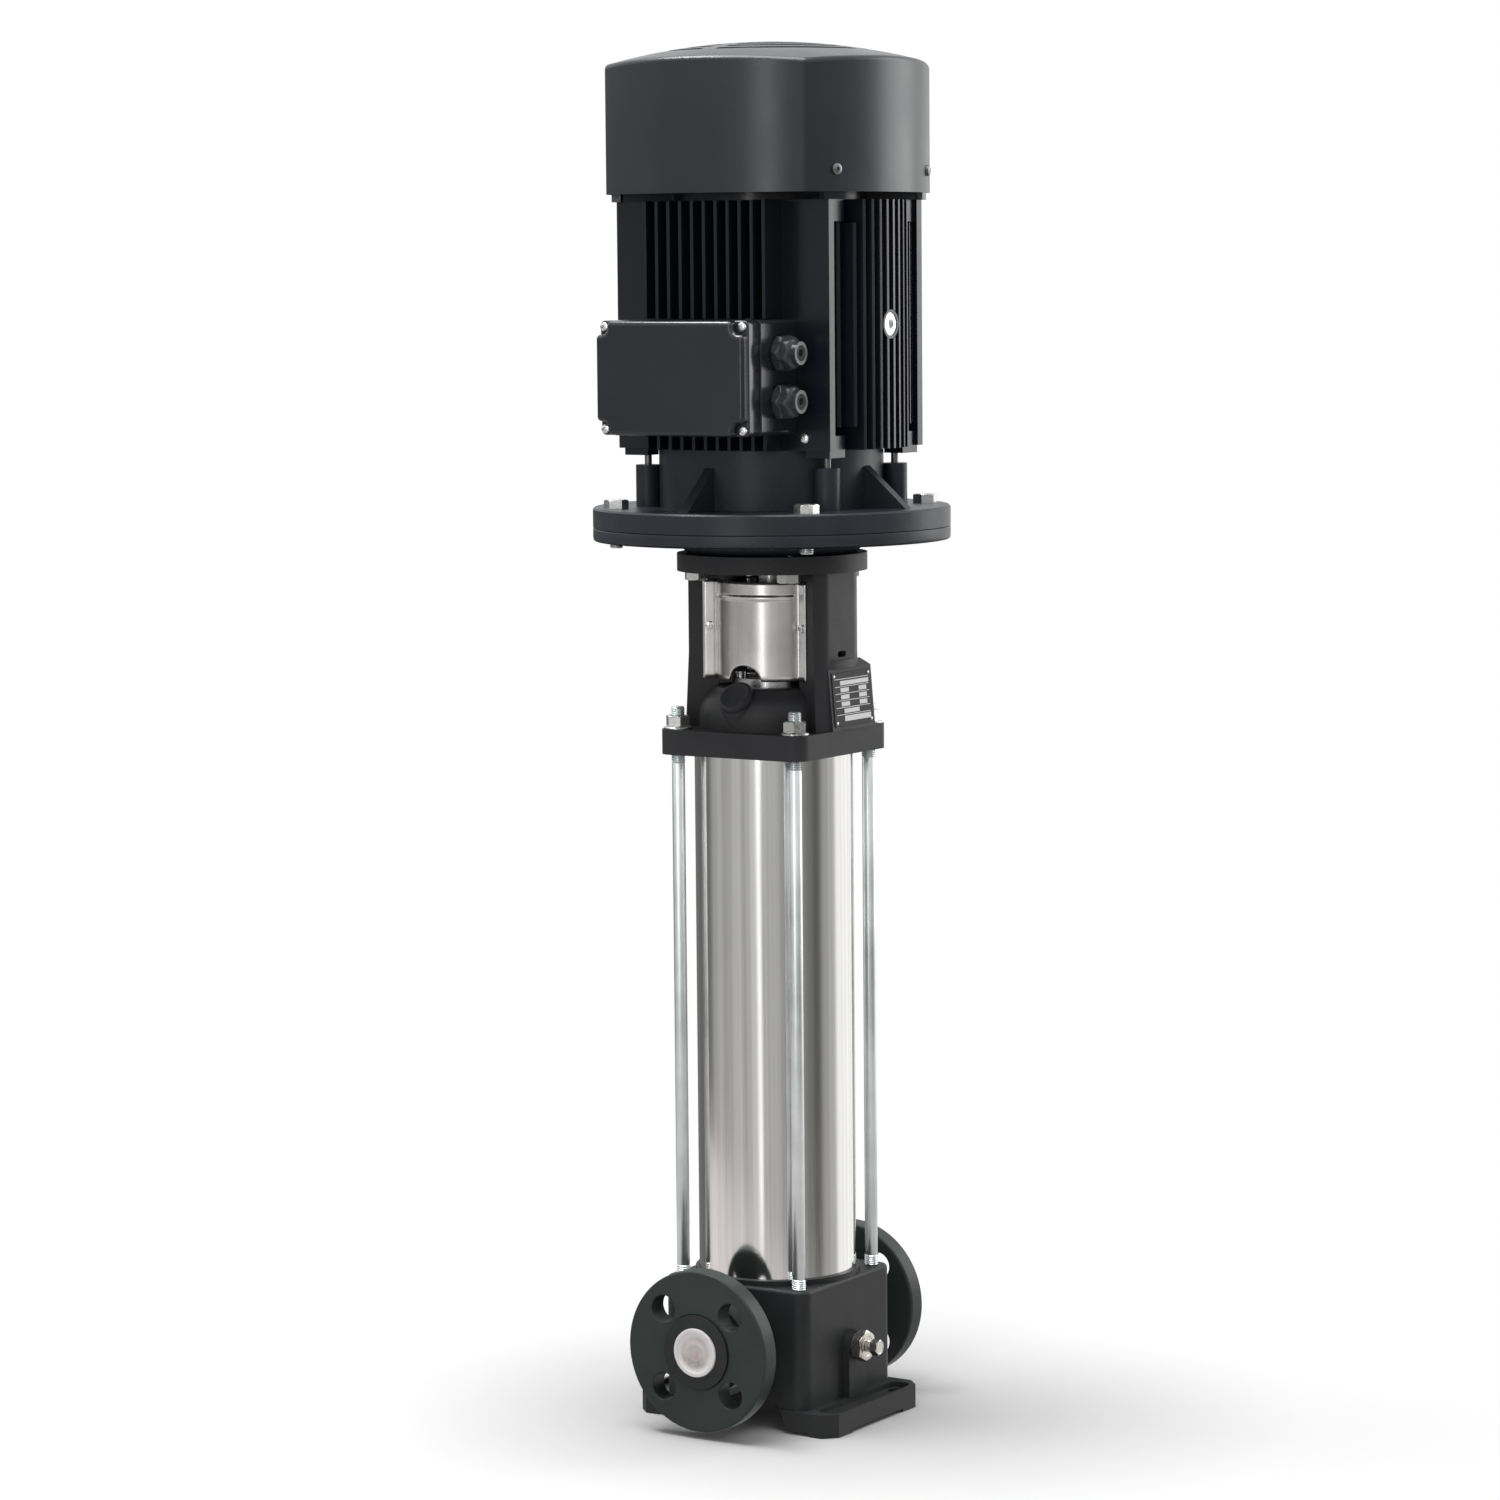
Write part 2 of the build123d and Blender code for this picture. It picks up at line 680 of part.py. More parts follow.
with BuildPart() as pump_head:
    with BuildSketch(Plane.XZ):
        Polygon(
            (column_inner, head_top),
            (column_foot_radius, head_top),
            (column_radius, head_top + flare_height),
            (column_radius, stool_bottom),
            (column_inner, stool_bottom),
            align=None,
        )
    revolve(axis=Axis.Z)
    with BuildSketch(Plane.XY.offset(head_top)):
        Polygon((0, 0), (window_half, -window_depth), (-window_half, -window_depth), align=None)
        Polygon((0, 0), (window_half, window_depth), (-window_half, window_depth), align=None)
    extrude(amount=stool_bottom - head_top, mode=Mode.SUBTRACT)
    with BuildSketch(Plane.XY.offset(column_flat_bottom)):
        with GridLocations(2 * column_flat + column_radius, 0, 2, 1):
            Rectangle(column_radius, 2 * column_radius)
    extrude(amount=stool_bottom - column_flat_bottom, mode=Mode.SUBTRACT)
    with BuildSketch(Plane.YZ):
        with Locations((0, column_flat_bottom + slot_height)):
            SlotOverall(slot_width, slot_height)
    extrude(amount=column_foot_radius, both=True, mode=Mode.SUBTRACT)
    with BuildSketch(Plane.XZ.offset(-plate_boss_offset - plate_boss_width / 2)):
        Polygon(
            (plate_boss_root, head_top),
            (plate_boss_low, head_top),
            (plate_boss_high, plate_boss_top),
            (plate_boss_root, plate_boss_top + (plate_boss_high - plate_boss_root) / 2),
            align=None,
        )
    extrude(amount=plate_boss_width)
    with BuildSketch(plate_plane):
        Rectangle(plate_boss_width, plate_boss_height)
    extrude(amount=column_foot_radius - plate_boss_high, mode=Mode.SUBTRACT)
    with BuildSketch(Plane.XZ):
        with BuildLine():
            bell_side = Line((bell_radius, head_top), (bell_radius, head_top + bell_height / 4))
            bell_curve = ThreePointArc(
                bell_side @ 1,
                (bell_radius - 3.5, head_top + bell_height * 0.65),
                (bell_top_radius, bell_top),
            )
            Polyline(bell_curve @ 1, (0, bell_top), (0, head_top), bell_side @ 0)
        make_face()
    revolve(axis=Axis.Z)
    with BuildSketch(plug_plane):
        Circle(plug_boss_radius)
    with BuildSketch(Plane.XY.offset(head_top)):
        with Locations((0, -plug_boss_foot_reach)):
            Circle(plug_boss_foot_radius)
    loft()
    with BuildSketch(plug_plane):
        Circle(plug_cap_radius + running_gap)
    extrude(amount=plug_cap_thickness, mode=Mode.SUBTRACT)
    with BuildSketch(Plane.XY.offset(head_bottom)):
        RectangleRounded(head_width, head_width, head_corner)
    extrude(amount=head_flange)
    with BuildSketch(Plane.XY.offset(stool_bottom)):
        Circle(stool_radius)
        Circle(stool_bore, mode=Mode.SUBTRACT)
    extrude(amount=stool_flange)
    with BuildSketch(Plane.XY.offset(head_bottom)):
        Circle(sleeve_radius + seat_gap)
    extrude(amount=head_recess, mode=Mode.SUBTRACT)
    with BuildSketch(Plane.XZ):
        Polygon(
            (0, recess_top),
            (cavity_radius, recess_top),
            (cavity_radius, cavity_shoulder),
            (cavity_neck, cavity_shoulder),
            (cavity_neck, cavity_shoulder + cavity_rise),
            (seal_bore + seat_gap, bell_top - seal_seat_thickness),
            (seal_bore + seat_gap, bell_top),
            (0, bell_top),
            align=None,
        )
    revolve(axis=Axis.Z, mode=Mode.SUBTRACT)
    with BuildSketch(Plane.XY.offset(head_bottom)):
        with GridLocations(rod_spacing, rod_spacing, 2, 2):
            Circle(head_hole / 2)
    extrude(amount=head_flange, mode=Mode.SUBTRACT)
    with BuildSketch(Plane.XY.offset(stool_bottom)):
        with PolarLocations(stool_bolt_circle / 2, 4, start_angle=45):
            Circle(stool_bolt_radius + seat_gap)
    extrude(amount=stool_flange, mode=Mode.SUBTRACT)
    with BuildSketch(Plane.XY.offset(bell_top)):
        with PolarLocations(gland_screw_circle / 2, 4, start_angle=45):
            Circle(gland_screw_radius + seat_gap)
    extrude(amount=-gland_screw_length, mode=Mode.SUBTRACT)
    with BuildSketch(plug_plane):
        Circle(plug_shank_radius + running_gap)
    extrude(amount=-plug_bore_depth, mode=Mode.SUBTRACT)
    for angle in (-column_half_angle, column_half_angle):
        face = Plane.XZ.rotated((0, 0, angle))
        with BuildSketch(face):
            with GridLocations(2 * guard_screw_reach, 0, 2, 1):
                with Locations((0, guard_screw_height)):
                    Circle(guard_screw_radius + seat_gap)
        extrude(amount=guard_screw_length, both=True, mode=Mode.SUBTRACT)
pump_head.part.label = "pump_head"
export_step(pump_head.part, "parts/pump_head.step")

# Priming plug: a plain round cap on a threaded shank
with BuildPart() as priming_plug:
    with BuildSketch(plug_plane):
        Circle(plug_cap_radius)
    extrude(amount=plug_cap_thickness)
    chamfer(priming_plug.edges().sort_by_distance(plug_plane.origin)[-1], 1)
    with BuildSketch(plug_plane):
        Circle(plug_shank_radius)
    extrude(amount=-plug_shank)
priming_plug.part.label = "priming_plug"
export_step(priming_plug.part, "parts/priming_plug.step")

# Data plate, left bare, and its four rivets
with BuildPart() as data_plate:
    with BuildSketch(plate_plane):
        RectangleRounded(plate_width, plate_height, rivet_radius)
    extrude(amount=plate_thickness)
data_plate.part.label = "data_plate"
export_step(data_plate.part, "parts/data_plate.step")

with BuildPart() as plate_rivets:
    with BuildSketch(plate_plane.offset(plate_thickness)):
        with GridLocations(plate_width - 2 * rivet_inset, plate_height - 2 * rivet_inset, 2, 2):
            Circle(rivet_radius)
    extrude(amount=rivet_height)
plate_rivets.part.label = "plate_rivets"
export_step(plate_rivets.part, "parts/plate_rivets.step")

# Coupling guards: half shells of sheet with a radial strip on each side that is screwed to a column
strip_direction = Vector(cos(radians(column_half_angle)), -sin(radians(column_half_angle)))
strip_normal = Vector(-sin(radians(column_half_angle)), -cos(radians(column_half_angle)))
strip_start = sqrt(guard_radius**2 - (guard_sheet / 2) ** 2)
strip_inner = strip_direction * strip_start + strip_normal * (guard_sheet / 2)
strip_outer = strip_direction * guard_reach + strip_normal * (guard_sheet / 2)

with BuildPart() as guard_front:
    with BuildSketch(Plane.XY.offset(guard_bottom)):
        with BuildLine():
            Line(strip_outer, strip_inner)
            ThreePointArc(strip_inner, (0, -guard_radius), (-strip_inner.X, strip_inner.Y))
            Line((-strip_inner.X, strip_inner.Y), (-strip_outer.X, strip_outer.Y))
        trace(line_width=guard_sheet)
    extrude(amount=guard_height)
    with BuildSketch(Plane.XY.offset(guard_bottom + guard_bead_height)):
        with BuildLine():
            ThreePointArc(
                (strip_inner.X, strip_inner.Y - guard_bead_proud * 3),
                (0, -guard_radius - guard_bead_proud),
                (-strip_inner.X, strip_inner.Y - guard_bead_proud * 3),
            )
        trace(line_width=guard_sheet)
    extrude(amount=guard_bead_width)
    with BuildSketch(Plane.XZ.offset(guard_radius / 2)):
        with Locations((0, guard_bottom)):
            Circle(guard_notch_radius)
    extrude(amount=guard_radius, mode=Mode.SUBTRACT)
    for angle in (-column_half_angle, column_half_angle):
        with BuildSketch(Plane.XZ.rotated((0, 0, angle))):
            with GridLocations(2 * guard_screw_reach, 0, 2, 1):
                with Locations((0, guard_screw_height)):
                    Circle(guard_screw_radius + seat_gap)
        extrude(amount=guard_screw_length, both=True, mode=Mode.SUBTRACT)
guard_front.part.label = "guard_front"
export_step(guard_front.part, "parts/guard_front.step")

with BuildPart() as guard_back:
    add(guard_front.part, rotation=(0, 0, 180))
guard_back.part.label = "guard_back"
export_step(guard_back.part, "parts/guard_back.step")

with BuildPart() as guard_screws:
    for turn, reach in ((-column_half_angle, 1), (column_half_angle, -1)):
        screw_plane = Plane.XZ.rotated((0, 0, turn))
        for side in (1, -1):
            outward = screw_plane.offset(guard_sheet)
            with BuildSketch(outward if side * reach > 0 else screw_plane.offset(-guard_sheet)):
                with Locations((side * guard_screw_reach, guard_screw_height)):
                    Circle(guard_screw_head_radius)
            extrude(amount=guard_screw_head * side * reach)
            with BuildSketch(outward if side * reach > 0 else screw_plane.offset(-guard_sheet)):
                with Locations((side * guard_screw_reach, guard_screw_height)):
                    Circle(guard_screw_radius)
            extrude(amount=-guard_screw_length * side * reach)
guard_screws.part.label = "guard_screws"
export_step(guard_screws.part, "parts/guard_screws.step")

# Shaft seal: fixed seat in the bell, gland plate over it, rotating head under it
with BuildPart() as seal_seat:
    with BuildSketch(Plane.XY.offset(bell_top - seal_seat_thickness)):
        Circle(seal_bore)
        Circle(pump_shaft_radius + air_gap, mode=Mode.SUBTRACT)
    extrude(amount=seal_seat_thickness)
seal_seat.part.label = "seal_seat"
export_step(seal_seat.part, "parts/seal_seat.step")

with BuildPart() as seal_gland:
    with BuildSketch(Plane.XY.offset(bell_top)):
        Circle(gland_plate_radius)
        Circle(pump_shaft_radius + air_gap, mode=Mode.SUBTRACT)
        with PolarLocations(gland_screw_circle / 2, 4, start_angle=45):
            Circle(gland_screw_radius + seat_gap, mode=Mode.SUBTRACT)
    extrude(amount=gland_plate_thickness)
seal_gland.part.label = "seal_gland"
export_step(seal_gland.part, "parts/seal_gland.step")

with BuildPart() as seal_gland_screws:
    with BuildSketch(Plane.XY.offset(bell_top + gland_plate_thickness)):
        with PolarLocations(gland_screw_circle / 2, 4, start_angle=45):
            Circle(gland_screw_head_radius)
    extrude(amount=gland_screw_head)
    with BuildSketch(Plane.XY.offset(bell_top + gland_plate_thickness)):
        with PolarLocations(gland_screw_circle / 2, 4, start_angle=45):
            Circle(gland_screw_radius)
    extrude(amount=-gland_plate_thickness - gland_screw_length)
seal_gland_screws.part.label = "seal_gland_screws"
export_step(seal_gland_screws.part, "parts/seal_gland_screws.step")

seal_head_top = bell_top - seal_seat_thickness - seal_face_gap
with BuildPart() as seal_head:
    with BuildSketch(Plane.XY.offset(seal_head_top)):
        Circle(seal_head_radius)
        Circle(pump_shaft_radius + running_gap, mode=Mode.SUBTRACT)
    extrude(amount=-seal_head_length)
seal_head.part.label = "seal_head"
export_step(seal_head.part, "parts/seal_head.step")

# Inlet chamber: a ring on the bowl's wall, with the eye of the first stage and a bearing spider
with BuildPart() as inlet_chamber:
    with BuildSketch(Plane.XY.offset(chamber_seat)):
        Circle(chamber_radius)
        Circle(chamber_radius - chamber_wall, mode=Mode.SUBTRACT)
    extrude(amount=inlet_height)
    with BuildSketch(Plane.XY.offset(stack_bottom)):
        Circle(chamber_radius)
        Circle(eye_radius, mode=Mode.SUBTRACT)
    extrude(amount=-diaphragm)
    with BuildSketch(Plane.XY.offset(chamber_seat + lower_bearing_height)):
        Circle(spider_radius)
        with PolarLocations(chamber_radius / 2, 3):
            Rectangle(chamber_radius - chamber_wall, spider_arm)
        Circle(lower_bearing_radius + seat_gap, mode=Mode.SUBTRACT)
    extrude(amount=lower_bearing_length)
inlet_chamber.part.label = "inlet_chamber"
export_step(inlet_chamber.part, "parts/inlet_chamber.step")

with BuildPart() as shaft_bearing:
    with BuildSketch(Plane.XY.offset(chamber_seat + lower_bearing_height)):
        Circle(lower_bearing_radius)
        Circle(pump_shaft_radius + running_gap, mode=Mode.SUBTRACT)
    extrude(amount=lower_bearing_length)
shaft_bearing.part.label = "shaft_bearing"
export_step(shaft_bearing.part, "parts/shaft_bearing.step")

# Diffuser chambers: one cup for each stage, with return vanes under its diaphragm
with BuildPart() as chamber:
    with BuildSketch():
        Circle(chamber_radius)
        Circle(chamber_radius - chamber_wall, mode=Mode.SUBTRACT)
    extrude(amount=stage_pitch)
    with BuildSketch(Plane.XY.offset(stage_pitch)):
        Circle(chamber_radius)
        Circle(eye_radius, mode=Mode.SUBTRACT)
    extrude(amount=-diaphragm)
    with BuildSketch(Plane.XY.offset(stage_pitch - diaphragm)):
        with PolarLocations((eye_radius + chamber_radius) / 2, vane_count):
            Rectangle(chamber_radius - chamber_wall - eye_radius, vane_thickness)
    extrude(amount=-vane_height)

with BuildPart() as diffuser_chambers:
    with Locations([(0, 0, stack_bottom + stage * stage_pitch) for stage in range(stage_count)]):
        add(chamber.part)
diffuser_chambers.part.label = "diffuser_chambers"
export_step(diffuser_chambers.part, "parts/diffuser_chambers.step")

# Top chamber: holds the stack down against the head and lets the water turn outwards
with BuildPart() as top_chamber:
    with BuildSketch(Plane.XY.offset(stack_top)):
        Circle(chamber_radius)
        Circle(eye_radius, mode=Mode.SUBTRACT)
    extrude(amount=diaphragm)
    with BuildSketch(Plane.XY.offset(stack_top + diaphragm)):
        Circle(chamber_radius)
        Circle(chamber_radius - 3 * chamber_wall, mode=Mode.SUBTRACT)
        Rectangle(top_window, 2 * chamber_radius, mode=Mode.SUBTRACT)
        Rectangle(2 * chamber_radius, top_window, mode=Mode.SUBTRACT)
    extrude(amount=cavity_shoulder - stack_top - diaphragm)
top_chamber.part.label = "top_chamber"
export_step(top_chamber.part, "parts/top_chamber.step")

# Pump shaft, with the nut that holds the impellers on its lower end
with BuildPart() as pump_shaft:
    with BuildSketch(Plane.XY.offset(pump_shaft_bottom)):
        Circle(pump_shaft_radius)
    extrude(amount=coupling_middle - shaft_end_gap / 2 - pump_shaft_bottom)
    with BuildSketch(Plane.YZ):
        with Locations((0, coupling_bottom + coupling_pin_height)):
            Circle(coupling_pin_radius + seat_gap)
    extrude(amount=pump_shaft_radius, both=True, mode=Mode.SUBTRACT)
pump_shaft.part.label = "pump_shaft"
export_step(pump_shaft.part, "parts/pump_shaft.step")

with BuildPart() as shaft_nut:
    with BuildSketch(Plane.XY.offset(chamber_seat + lower_bearing_height - air_gap)):
        RegularPolygon(hex_radius(shaft_nut_flats), 6)
        Circle(pump_shaft_radius + seat_gap, mode=Mode.SUBTRACT)
    extrude(amount=-shaft_nut_height)
shaft_nut.part.label = "shaft_nut"
export_step(shaft_nut.part, "parts/shaft_nut.step")

# Impellers: two shrouds with vanes between them, the neck of the eye below, a hub up to the next one
impeller_eye = eye_radius - air_gap
with BuildPart() as impeller:
    with BuildSketch():
        Circle(impeller_eye)
        Circle(impeller_eye - impeller_eye_wall, mode=Mode.SUBTRACT)
    extrude(amount=-diaphragm)
    with BuildSketch(Plane.XY.offset(impeller_rise)):
        Circle(impeller_radius)
        Circle(impeller_eye - impeller_eye_wall, mode=Mode.SUBTRACT)
    extrude(amount=shroud_thickness)
    with BuildSketch():
        Circle(impeller_eye)
        Circle(impeller_eye - impeller_eye_wall, mode=Mode.SUBTRACT)
    extrude(amount=impeller_rise)
    with BuildSketch(Plane.XY.offset(impeller_rise + shroud_thickness)):
        with PolarLocations((impeller_eye + impeller_radius) / 2, vane_count):
            Rectangle(impeller_radius - impeller_eye, shroud_thickness, rotation=vane_sweep)
    extrude(amount=impeller_passage)
    with BuildSketch(Plane.XY.offset(impeller_rise + shroud_thickness + impeller_passage)):
        Circle(impeller_radius)
    extrude(amount=shroud_thickness)
    with BuildSketch():
        Circle(impeller_hub_radius)
    extrude(amount=stage_pitch - hub_gap)
    with BuildSketch():
        Circle(pump_shaft_radius + running_gap)
    extrude(amount=stage_pitch, mode=Mode.SUBTRACT)

with BuildPart() as impellers:
    with Locations([(0, 0, stack_bottom + stage * stage_pitch) for stage in range(stage_count)]):
        add(impeller.part)
impellers.part.label = "impellers"
export_step(impellers.part, "parts/impellers.step")

# Coupling: two half shells clamped round the ends of both shafts by four screws, and a cross pin
halves = {"left": -1, "right": 1}
for side, sign in halves.items():
    with BuildPart() as coupling_half:
        with BuildSketch(Plane.XY.offset(coupling_bottom)):
            Circle(coupling_radius)
            with Locations((0, -sign * (coupling_radius - coupling_split / 2))):
                Rectangle(2 * coupling_radius, 2 * coupling_radius, mode=Mode.SUBTRACT)
        extrude(amount=coupling_length)
        chamfer(coupling_half.edges().filter_by(GeomType.CIRCLE), coupling_chamfer)
        with BuildSketch(Plane.XY.offset(coupling_bottom)):
            Circle(pump_shaft_radius + seat_gap)
        extrude(amount=coupling_length, mode=Mode.SUBTRACT)
        with BuildSketch(Plane.XY.offset(coupling_middle)):
            Circle(motor_shaft_radius + seat_gap)
        extrude(amount=coupling_length, mode=Mode.SUBTRACT)
        with BuildSketch(Plane.XZ):
            with Locations((0, coupling_middle)):
                with GridLocations(2 * coupling_screw_offset, coupling_screw_pitch, 2, 2):
                    Circle(coupling_screw_radius + seat_gap)
        extrude(amount=coupling_radius, both=True, mode=Mode.SUBTRACT)
        with BuildSketch(Plane.XZ.offset(coupling_radius / 3)):
            with Locations((0, coupling_middle)):
                with GridLocations(2 * coupling_screw_offset, coupling_screw_pitch, 2, 2):
                    Circle(coupling_screw_head_radius + seat_gap)
        extrude(amount=coupling_radius, mode=Mode.SUBTRACT)
        with BuildSketch(Plane.YZ):
            with Locations((0, coupling_bottom + coupling_pin_height)):
                Circle(coupling_pin_radius + seat_gap)
        extrude(amount=coupling_pin_length / 2, both=True, mode=Mode.SUBTRACT)
    coupling_half.part.label = f"coupling_half_{side}"
    export_step(coupling_half.part, f"parts/coupling_half_{side}.step")

with BuildPart() as coupling_screws:
    with BuildSketch(Plane.XZ.offset(coupling_radius / 3)):
        with Locations((0, coupling_middle)):
            with GridLocations(2 * coupling_screw_offset, coupling_screw_pitch, 2, 2):
                Circle(coupling_screw_head_radius)
    extrude(amount=coupling_screw_head)
    with BuildSketch(Plane.XZ.offset(coupling_radius / 3)):
        with Locations((0, coupling_middle)):
            with GridLocations(2 * coupling_screw_offset, coupling_screw_pitch, 2, 2):
                Circle(coupling_screw_radius)
    extrude(amount=-coupling_screw_length)
coupling_screws.part.label = "coupling_screws"
export_step(coupling_screws.part, "parts/coupling_screws.step")

with BuildPart() as coupling_pin:
    with BuildSketch(Plane.YZ):
        with Locations((0, coupling_bottom + coupling_pin_height)):
            Circle(coupling_pin_radius)
    extrude(amount=coupling_pin_length / 2, both=True)
coupling_pin.part.label = "coupling_pin"
export_step(coupling_pin.part, "parts/coupling_pin.step")

# Adapter flange between the stool and the motor
with BuildPart() as adapter_flange:
    with BuildSketch(Plane.XZ):
        Polygon(
            (adapter_bore, stool_top),
            (adapter_hub_foot, stool_top),
            (adapter_hub_radius, adapter_bottom - adapter_hub_lip),
            (adapter_hub_radius, adapter_bottom),
            (motor_flange_radius - motor_flange_edge, adapter_bottom),
            (motor_flange_radius, adapter_bottom + motor_flange_edge),
            (motor_flange_radius, flange_face),
            (spigot_radius + seat_gap, flange_face),
            (spigot_radius + seat_gap, flange_face - spigot_depth),
            (adapter_bore, flange_face - spigot_depth),
            align=None,
        )
    revolve(axis=Axis.Z)
    with BuildSketch(Plane.XY.offset(stool_top)):
        with PolarLocations(stool_bolt_circle / 2, 4, start_angle=45):
            Circle(stool_bolt_radius + seat_gap)
    extrude(amount=flange_face - stool_top, mode=Mode.SUBTRACT)
    with BuildSketch(Plane.XY.offset(adapter_bottom)):
        with PolarLocations(flange_bolt_pcd / 2, 4, start_angle=45):
            Circle(flange_bolt_radius + seat_gap)
    extrude(amount=adapter_disc, mode=Mode.SUBTRACT)
adapter_flange.part.label = "adapter_flange"
export_step(adapter_flange.part, "parts/adapter_flange.step")

with BuildPart() as adapter_bolts:
    with BuildSketch(Plane.XY.offset(stool_bottom)):
        with PolarLocations(stool_bolt_circle / 2, 4, start_angle=45):
            RegularPolygon(hex_radius(bolt_across_flats), 6)
    extrude(amount=-stool_bolt_head)
    with BuildSketch(Plane.XY.offset(stool_bottom)):
        with PolarLocations(stool_bolt_circle / 2, 4, start_angle=45):
            Circle(stool_bolt_radius)
    extrude(amount=stool_bolt_length)
adapter_bolts.part.label = "adapter_bolts"
export_step(adapter_bolts.part, "parts/adapter_bolts.step")

with BuildPart() as flange_bolts:
    with BuildSketch(Plane.XY.offset(shield_floor_top)):
        with PolarLocations(flange_bolt_pcd / 2, 4, start_angle=45):
            RegularPolygon(hex_radius(bolt_across_flats), 6)
    extrude(amount=flange_bolt_head)
    with BuildSketch(Plane.XY.offset(shield_floor_top)):
        with PolarLocations(flange_bolt_pcd / 2, 4, start_angle=45):
            Circle(flange_bolt_radius)
    extrude(amount=-motor_flange_thickness - adapter_disc - flange_bolt_stand_out)
flange_bolts.part.label = "flange_bolts"
export_step(flange_bolts.part, "parts/flange_bolts.step")

# Motor end shield: the big flange, its neck with four ribs and four bolt bosses, the bearing housing
through_bolt_places = [
    (x * through_bolt_x, y * through_bolt_y) for x in (-1, 1) for y in (-1, 1)
]
with BuildPart() as motor_end_shield:
    with BuildSketch(Plane.XZ):
        Polygon(
            (motor_shaft_radius + air_gap, flange_face - spigot_depth + seat_gap),
            (spigot_radius, flange_face - spigot_depth + seat_gap),
            (spigot_radius, flange_face),
            (motor_flange_radius, flange_face),
            (motor_flange_radius, shield_floor_top - motor_flange_edge),
            (motor_flange_radius - motor_flange_edge, shield_floor_top),
            (shield_neck_radius, shield_floor_top),
            (shield_neck_radius, shield_top),
            (shield_neck_radius - shield_wall, shield_top),
            (shield_neck_radius - shield_wall, lower_bearing_seat),
            (bearing_housing_radius, lower_bearing_seat),
            (bearing_housing_radius, lower_bearing_seat + lower_bearing_width),
            (lower_bearing_outer + seat_gap, lower_bearing_seat + lower_bearing_width),
            (lower_bearing_outer + seat_gap, lower_bearing_seat),
            (motor_shaft_radius + air_gap, lower_bearing_seat),
            align=None,
        )
    revolve(axis=Axis.Z)
    for turn in range(4):
        rib_plane = Plane.XZ.rotated((0, 0, 90 * turn)).offset(-rib_thickness / 2)
        with BuildSketch(rib_plane):
            Polygon(
                (shield_neck_radius - shield_wall / 2, shield_floor_top),
                (rib_reach, shield_floor_top),
                (shield_neck_radius, shield_floor_top + rib_height),
                (shield_neck_radius - shield_wall / 2, shield_floor_top + rib_height),
                align=None,
            )
        extrude(amount=rib_thickness)
    with BuildSketch(Plane.XY.offset(shield_floor_top)):
        with Locations(*through_bolt_places):
            Circle(boss_radius)
    extrude(amount=boss_height)
    with BuildSketch(Plane.XY.offset(shield_floor_top + boss_height)):
        with Locations(*through_bolt_places):
            Circle(through_bolt_radius + seat_gap)
    extrude(amount=-through_bolt_grip, mode=Mode.SUBTRACT)
    with BuildSketch(Plane.XY.offset(flange_face)):
        with PolarLocations(flange_bolt_pcd / 2, 4, start_angle=45):
            Circle(flange_bolt_radius + seat_gap)
    extrude(amount=motor_flange_thickness, mode=Mode.SUBTRACT)
motor_end_shield.part.label = "motor_end_shield"
export_step(motor_end_shield.part, "parts/motor_end_shield.step")

# Bearings: an outer ring with its shields, and an inner ring that turns with the shaft
bearings = (
    (lower_bearing_seat, lower_bearing_outer, lower_bearing_bore, lower_bearing_width),
    (upper_bearing_seat, upper_bearing_outer, upper_bearing_bore, upper_bearing_width),
)
with BuildPart() as bearing_outer_rings:
    for seat, outer, bore, width in bearings:
        with BuildSketch(Plane.XY.offset(seat)):
            Circle(outer)
            Circle(outer - ring_thickness, mode=Mode.SUBTRACT)
        extrude(amount=width)
        upper_shield = seat + width - 2 * bearing_shield
        with BuildSketch(Plane.XY.offset(seat + bearing_shield), Plane.XY.offset(upper_shield)):
            Circle(outer - ring_thickness / 2)
            Circle(bore + ring_thickness + seal_face_gap, mode=Mode.SUBTRACT)
        extrude(amount=bearing_shield)
bearing_outer_rings.part.label = "bearing_outer_rings"
export_step(bearing_outer_rings.part, "parts/bearing_outer_rings.step")

with BuildPart() as bearing_inner_rings:
    for seat, outer, bore, width in bearings:
        with BuildSketch(Plane.XY.offset(seat)):
            Circle(bore + ring_thickness)
            Circle(bore, mode=Mode.SUBTRACT)
        extrude(amount=width)
bearing_inner_rings.part.label = "bearing_inner_rings"
export_step(bearing_inner_rings.part, "parts/bearing_inner_rings.step")

# Motor frame: a tube with long fins, four flat corner plates and lugs for the through bolts
frame_middle = frame_bottom + frame_height / 2
side_plug_plane = Plane(origin=(side_plug_face, 0, frame_middle), x_dir=(0, 1, 0), z_dir=(1, 0, 0))
earth_screw_place = (earth_screw_x, frame_bottom + earth_screw_height)

